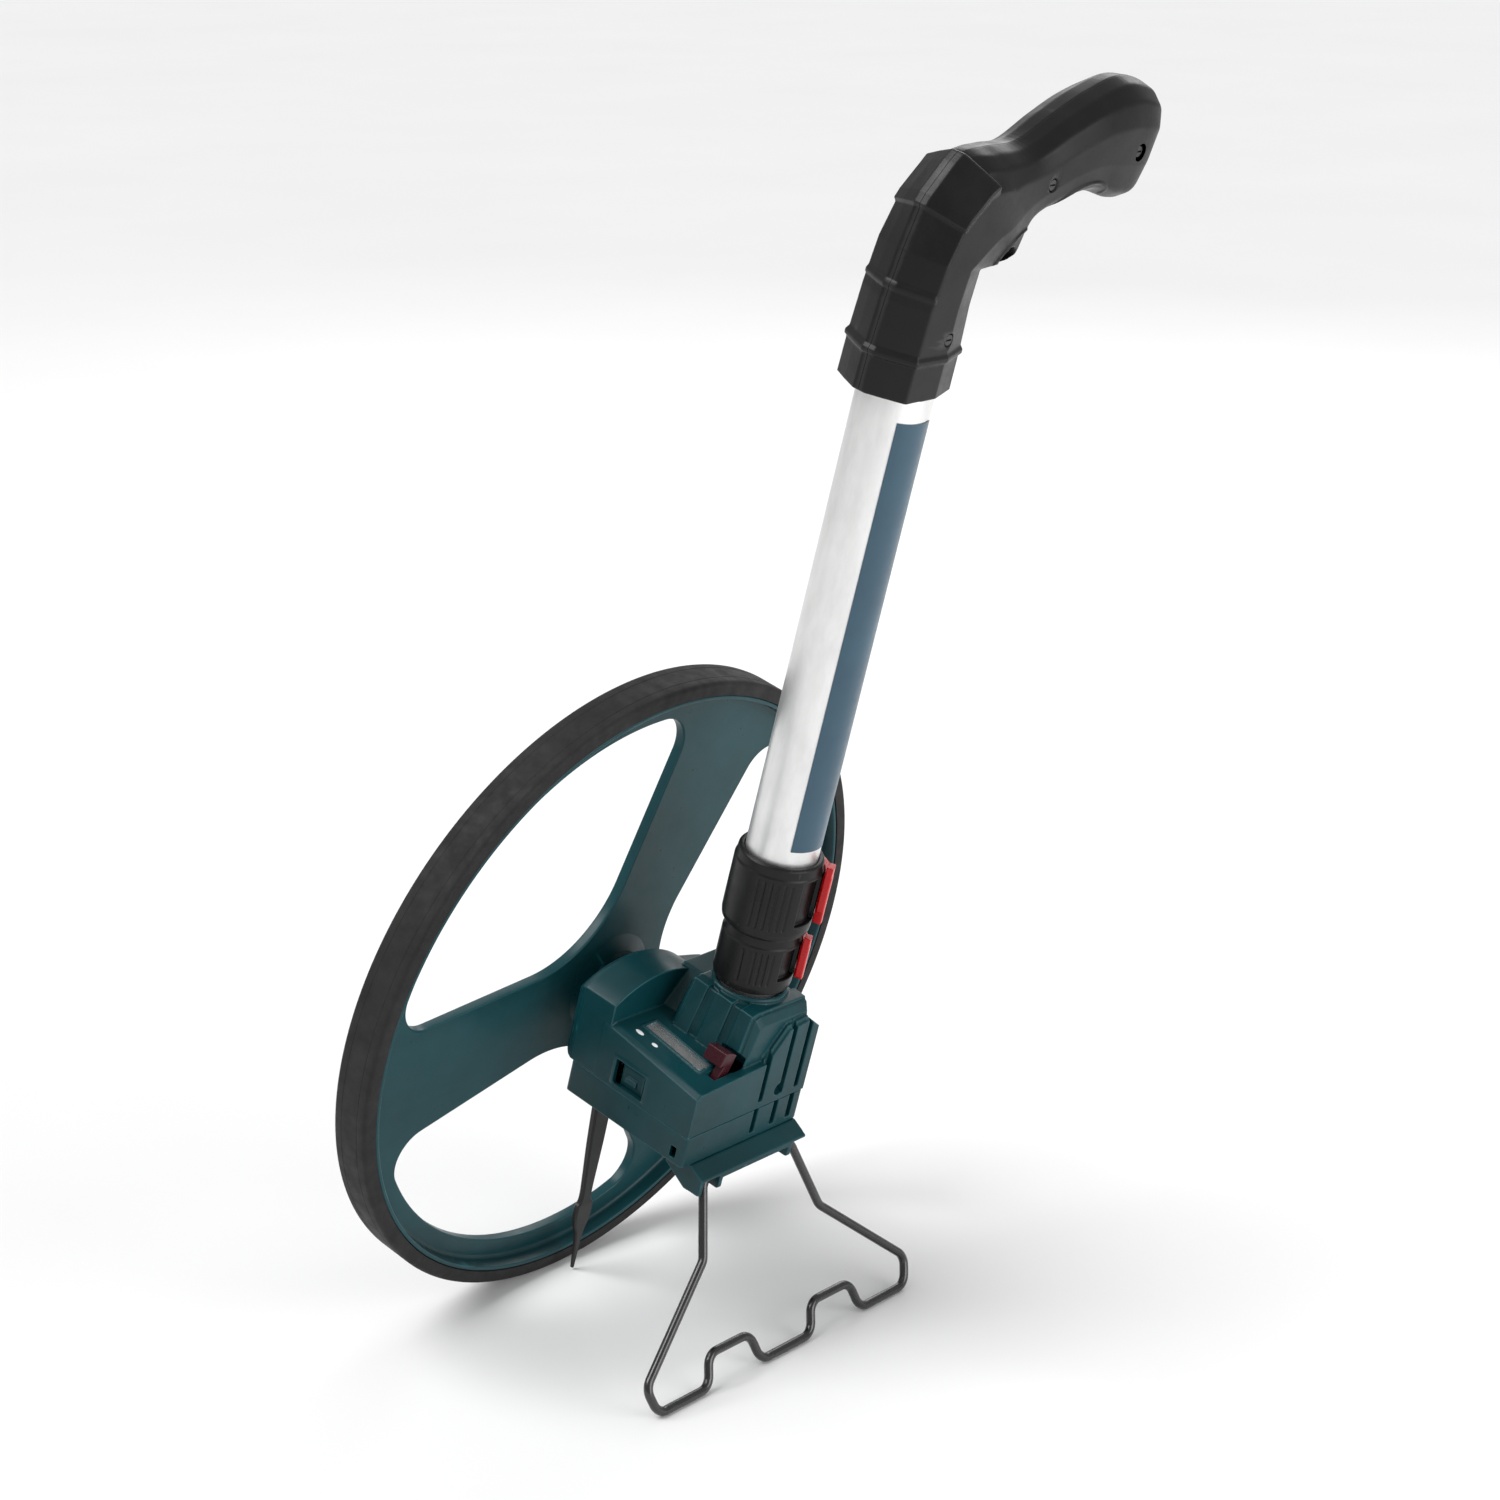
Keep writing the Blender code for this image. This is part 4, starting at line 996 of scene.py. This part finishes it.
def handle_section(t):
    """The section turns from the faceted foot to the rounded grip behind the elbow."""
    share = min(1.0, max(0.0, (t - 4.6) / 1.2))
    pairs = zip(FOOT_SECTION, GRIP_SECTION)
    return [(mix(a[0], b[0], share), mix(a[1], b[1], share)) for a, b in pairs], share


def handle_loft():
    rings = []
    last = len(HANDLE_STATIONS) - 1
    count = 96
    for i in range(count + 1):
        t = last * i / count
        section, share = handle_section(t)
        rings.append(handle_ring(handle_station(t), section, corner=mix(1.2, 5.0, share)))
    (y0, z0), (y1, z1), half = HANDLE_STATIONS[-1]
    section = handle_section(last)[0]
    for share in (0.96, 0.84, 0.62, 0.3):
        bulge = math.sqrt(1 - share**2) * 3.4
        station = (
            (mix(y1, y0, 0.5 + share / 2) + bulge, mix(z1, z0, 0.5 + share / 2) - bulge * 0.1),
            (mix(y0, y1, 0.5 + share / 2) + bulge, mix(z0, z1, 0.5 + share / 2) + bulge * 0.1),
            half * share,
        )
        rings.append(handle_ring(station, section, corner=5.0 * share))
    return loft(rings)


def bead(path, radius, name, surface):
    """A thin round bead along a path, with soft ends."""
    rings = []
    for i, point in enumerate(path):
        ahead = path[min(i + 1, len(path) - 1)] - path[max(i - 1, 0)]
        side = Vector((1, 0, 0))
        normal = ahead.cross(side).normalized()
        swell = radius * min(1.0, 0.25 + 0.35 * min(i, len(path) - 1 - i))
        rings.append([point + (side * u + normal * v) * swell for u, v in circle((0, 0), 1.0, 12)])
    return mesh_object(name, loft(rings), surface)


def make_handle():
    black = MATERIALS["black_plastic"]
    body = mesh_object("handle_skin", handle_loft(), black)
    places = [v.co / MM for v in body.data.vertices]
    tree = BVHTree.FromPolygons(places, [p.vertices[:] for p in body.data.polygons])
    extras = []
    for level, proud, half, section in ((351, 1.1, 1.3, FOOT_SECTION), (377, 0.7, 1.1, CAP_SECTION)):
        t = 1 + (level - 350) / 22 if level < 372 else 2 + (level - 372) / 18
        station = handle_station(t)
        rings = []
        for lift, grow in ((-half - 0.8, 0.0), (-half, proud), (half * 0.4, proud), (half + 0.9, 0.0)):
            raised = tuple((y, z + lift) for y, z in station[:2]) + (station[2],)
            rings.append(handle_ring(raised, section, grow, 0.8))
        extras.append(mesh_object("band", loft(rings), black))
    rings = []
    for t, grow in ((3.9, -0.2), (3.98, 1.2), (4.2, 1.4), (4.8, 1.8), (5.05, 2.6), (5.12, 2.0), (5.14, -5)):
        rings.append(handle_ring(handle_station(t), CAP_SECTION, grow, 0.8))
    extras.append(mesh_object("cap", loft(rings), black))
    arches = (
        ([(70, 407.5), (78, 413), (88, 417.5), (98, 418.5), (106, 415), (110.5, 408.5)], 0.8),
        ([(37.5, 387.5), (42, 394), (48, 399.5), (56, 402)], 0.7),
    )
    for arch, radius in arches:
        for side in (-1, 1):
            path = []
            count = 48
            for i in range(count + 1):
                t = (len(arch) - 1) * i / count
                y, z = spline([p[0] for p in arch], t), spline([p[1] for p in arch], t)
                hit = tree.ray_cast(Vector((POLE[0] + side * 60, y, z)), Vector((-side, 0, 0)))[0]
                if hit is not None:
                    path.append(hit + Vector((side * 0.05, 0, 0)))
            extras.append(bead(path, radius, "arch", black))
    for y, z, radius in ((90.5, 396.5, 17.5), (67.0, 397.5, 8.5), (46.5, 390.0, 5.0)):
        combine(body, cylinder("x", (y, z), radius, POLE[0] - 40, POLE[0] + 40, 96))
    join(body, *extras)
    melt(body, 0.42, 3, 0.4)
    combine(body, cylinder("z", POLE, 17.05, 300, 369, 96))
    for y, z, half in HANDLE_SCREWS:
        face = POLE[0] + half
        combine(body, cylinder("x", (y, z), 2.8, face - 2.9, face + 5, 32))
        combine(body, turned("x", (y, z), [(face - 0.9, 2.7), (face + 0.6, 4.2), (face + 0.6, 2.7)], 32))
    for name, side in (("handle_left", 1), ("handle_right", -1)):
        half = mesh_object(f"{name}_skin", half_of(body, side), black)
        finish_piece(half, "top_pole", "black_plastic", name, sharp_deg=50)
    bpy.data.objects.remove(body, do_unlink=True)


def half_of(obj, side):
    """One side of a piece cut along the handle's seam, in millimetres."""
    bm = bmesh.new()
    bm.from_mesh(obj.data)
    bmesh.ops.scale(bm, verts=bm.verts, vec=(1 / MM, 1 / MM, 1 / MM))
    seam = Vector((POLE[0] + side * 0.12, 0, 0))
    geometry = bm.verts[:] + bm.edges[:] + bm.faces[:]
    cut = bmesh.ops.bisect_plane(bm, geom=geometry, plane_co=seam, plane_no=(-side, 0, 0), clear_outer=True)
    edges = [item for item in cut["geom_cut"] if isinstance(item, bmesh.types.BMEdge)]
    bmesh.ops.triangle_fill(bm, edges=edges, use_beauty=True)
    return bm


# ---------------------------------------------------------------- pointer and stand


def make_pointer():
    sections = (
        (-6.0, 3.6, 6.6, 2.2),
        (-40.0, 4.1, 6.3, 2.1),
        (-80.0, 5.8, 5.2, 1.9),
        (-112.0, 7.2, 3.4, 1.6),
        (-119.0, 7.6, 5.6, 1.6),
        (-128.0, 7.8, 5.0, 1.5),
        (-136.0, 8.3, 2.4, 1.2),
        (-155.0, 9.2, 0.8, 0.9),
    )
    rings = []
    count = 70
    for i in range(count + 1):
        t = (len(sections) - 1) * i / count
        z, x, half_y, half_x = (spline(column, t) for column in zip(*sections))
        flat = half_x * 0.55
        outline = [(-half_x, -half_y + flat), (-flat, -half_y), (flat, -half_y), (half_x, -half_y + flat)]
        outline += [(half_x, half_y - flat), (flat, half_y), (-flat, half_y), (-half_x, half_y - flat)]
        rings.append([(x + u, v, z) for u, v in outline])
    pointer = mesh_object("pointer_skin", loft(rings), MATERIALS["black_plastic"])
    disc = [(1.3, 0), (1.3, 9.6), (1.7, 10.0), (4.6, 10.0), (5.2, 9.4), (5.2, 0)]
    combine(pointer, turned("x", (0, 0), disc, 64), "UNION")
    combine(pointer, cylinder("x", (0, 0), 4.3, -5, 15))
    finish_piece(pointer, "plumb_pointer", "black_plastic", "pointer")


STAND_SLOPE = math.radians(-58.6)
FOOT_REACH = 90.65
STAND_HALF = (
    (17, 0),
    (30, 0),
    (41, 35.5),
    (92, 77.5),
    (88, FOOT_REACH),
    (54, FOOT_REACH),
    (50, 76.5),
    (22, 76.5),
    (18, FOOT_REACH),
)


def make_stand_wire():
    x, z = STAND_PIVOT
    half = [(-y, s) for y, s in STAND_HALF]
    route = rounded([(-y, s) for y, s in half] + list(reversed(half)), 7.0, 10, closed=False)
    down = Vector((math.cos(STAND_SLOPE), 0, math.sin(STAND_SLOPE)))
    curve = bpy.data.curves.new("kickstand_wire_skin", "CURVE")
    curve.dimensions = "3D"
    curve.bevel_depth = (WIRE_RADIUS - 0.12) * MM
    curve.bevel_resolution = 7
    curve.use_fill_caps = True
    wire_path = curve.splines.new("POLY")
    wire_path.points.add(len(route) - 1)
    for point, (y, s) in zip(wire_path.points, route):
        place = Vector((x, y, z)) + down * s
        point.co = (*(place * MM), 1)
    curve.materials.append(MATERIALS["black_coated_wire"])
    wire = bpy.data.objects.new("kickstand_wire_skin", curve)
    bpy.context.scene.collection.objects.link(wire)
    wire_path.use_smooth = True
    finish_piece(wire, "kickstand", "black_coated_wire", "kickstand_wire")


# ---------------------------------------------------------------- set


def make_set():
    """A wide, flat, pale floor, soft lights and the camera."""
    floor = Surface("pale_floor", (0.86, 0.86, 0.86), 0.9)
    stops = ((0.3, (0.85, 0.85, 0.85)), (0.7, (0.87, 0.87, 0.87)))
    floor.drive("Base Color", floor.ramp(floor.noise(2), stops))
    bm = bmesh.new()
    corners = ((-1, -1), (1, -1), (1, 1), (-1, 1))
    bm.faces.new([bm.verts.new((x * FLOOR_HALF, y * FLOOR_HALF, 0)) for x, y in corners])
    mesh = bpy.data.meshes.new("floor")
    bm.to_mesh(mesh)
    bm.free()
    mesh.materials.append(floor.made)
    obj = bpy.data.objects.new("floor", mesh)
    bpy.context.scene.collection.objects.link(obj)

    world = bpy.data.worlds.new("studio")
    bpy.context.scene.world = world
    world.use_nodes = True
    background = world.node_tree.nodes["Background"]
    background.inputs["Color"].default_value = (1.0, 1.0, 1.0, 1.0)
    background.inputs["Strength"].default_value = WORLD_STRENGTH
    for name, place, size, power in LIGHTS:
        light = bpy.data.lights.new(name, "AREA" if size else "SUN")
        if size:
            light.shape = "RECTANGLE"
            light.size, light.size_y = size
        else:
            light.angle = math.radians(40)
        light.energy = power
        lamp = bpy.data.objects.new(name, light)
        lamp.location = place
        lamp.rotation_euler = (LOOK_AT - lamp.location).to_track_quat("-Z", "Y").to_euler()
        bpy.context.scene.collection.objects.link(lamp)

    bpy.context.scene.view_settings.view_transform = "Standard"
    camera = bpy.data.cameras.new("camera")
    camera.sensor_width = 36.0
    camera.lens = CAMERA_LENS
    camera.clip_start = 0.05
    camera.clip_end = 200.0
    eye = bpy.data.objects.new("camera", camera)
    right = CAMERA_RIGHT.normalized()
    forward = CAMERA_FORWARD.normalized()
    up = right.cross(forward).normalized()
    turn = Matrix((right, up, -forward)).transposed().to_4x4()
    eye.matrix_world = Matrix.Translation(CAMERA_PLACE) @ turn
    bpy.context.scene.collection.objects.link(eye)
    bpy.context.scene.camera = eye


make_set()
dress_cad_nodes()
make_wheel()
make_housing_cover()
make_housing_base()
make_stand_bracket()
make_display()
make_drums()
make_reset_lever()
make_tubes()
make_collars()
make_handle()
make_pointer()
make_stand_wire()
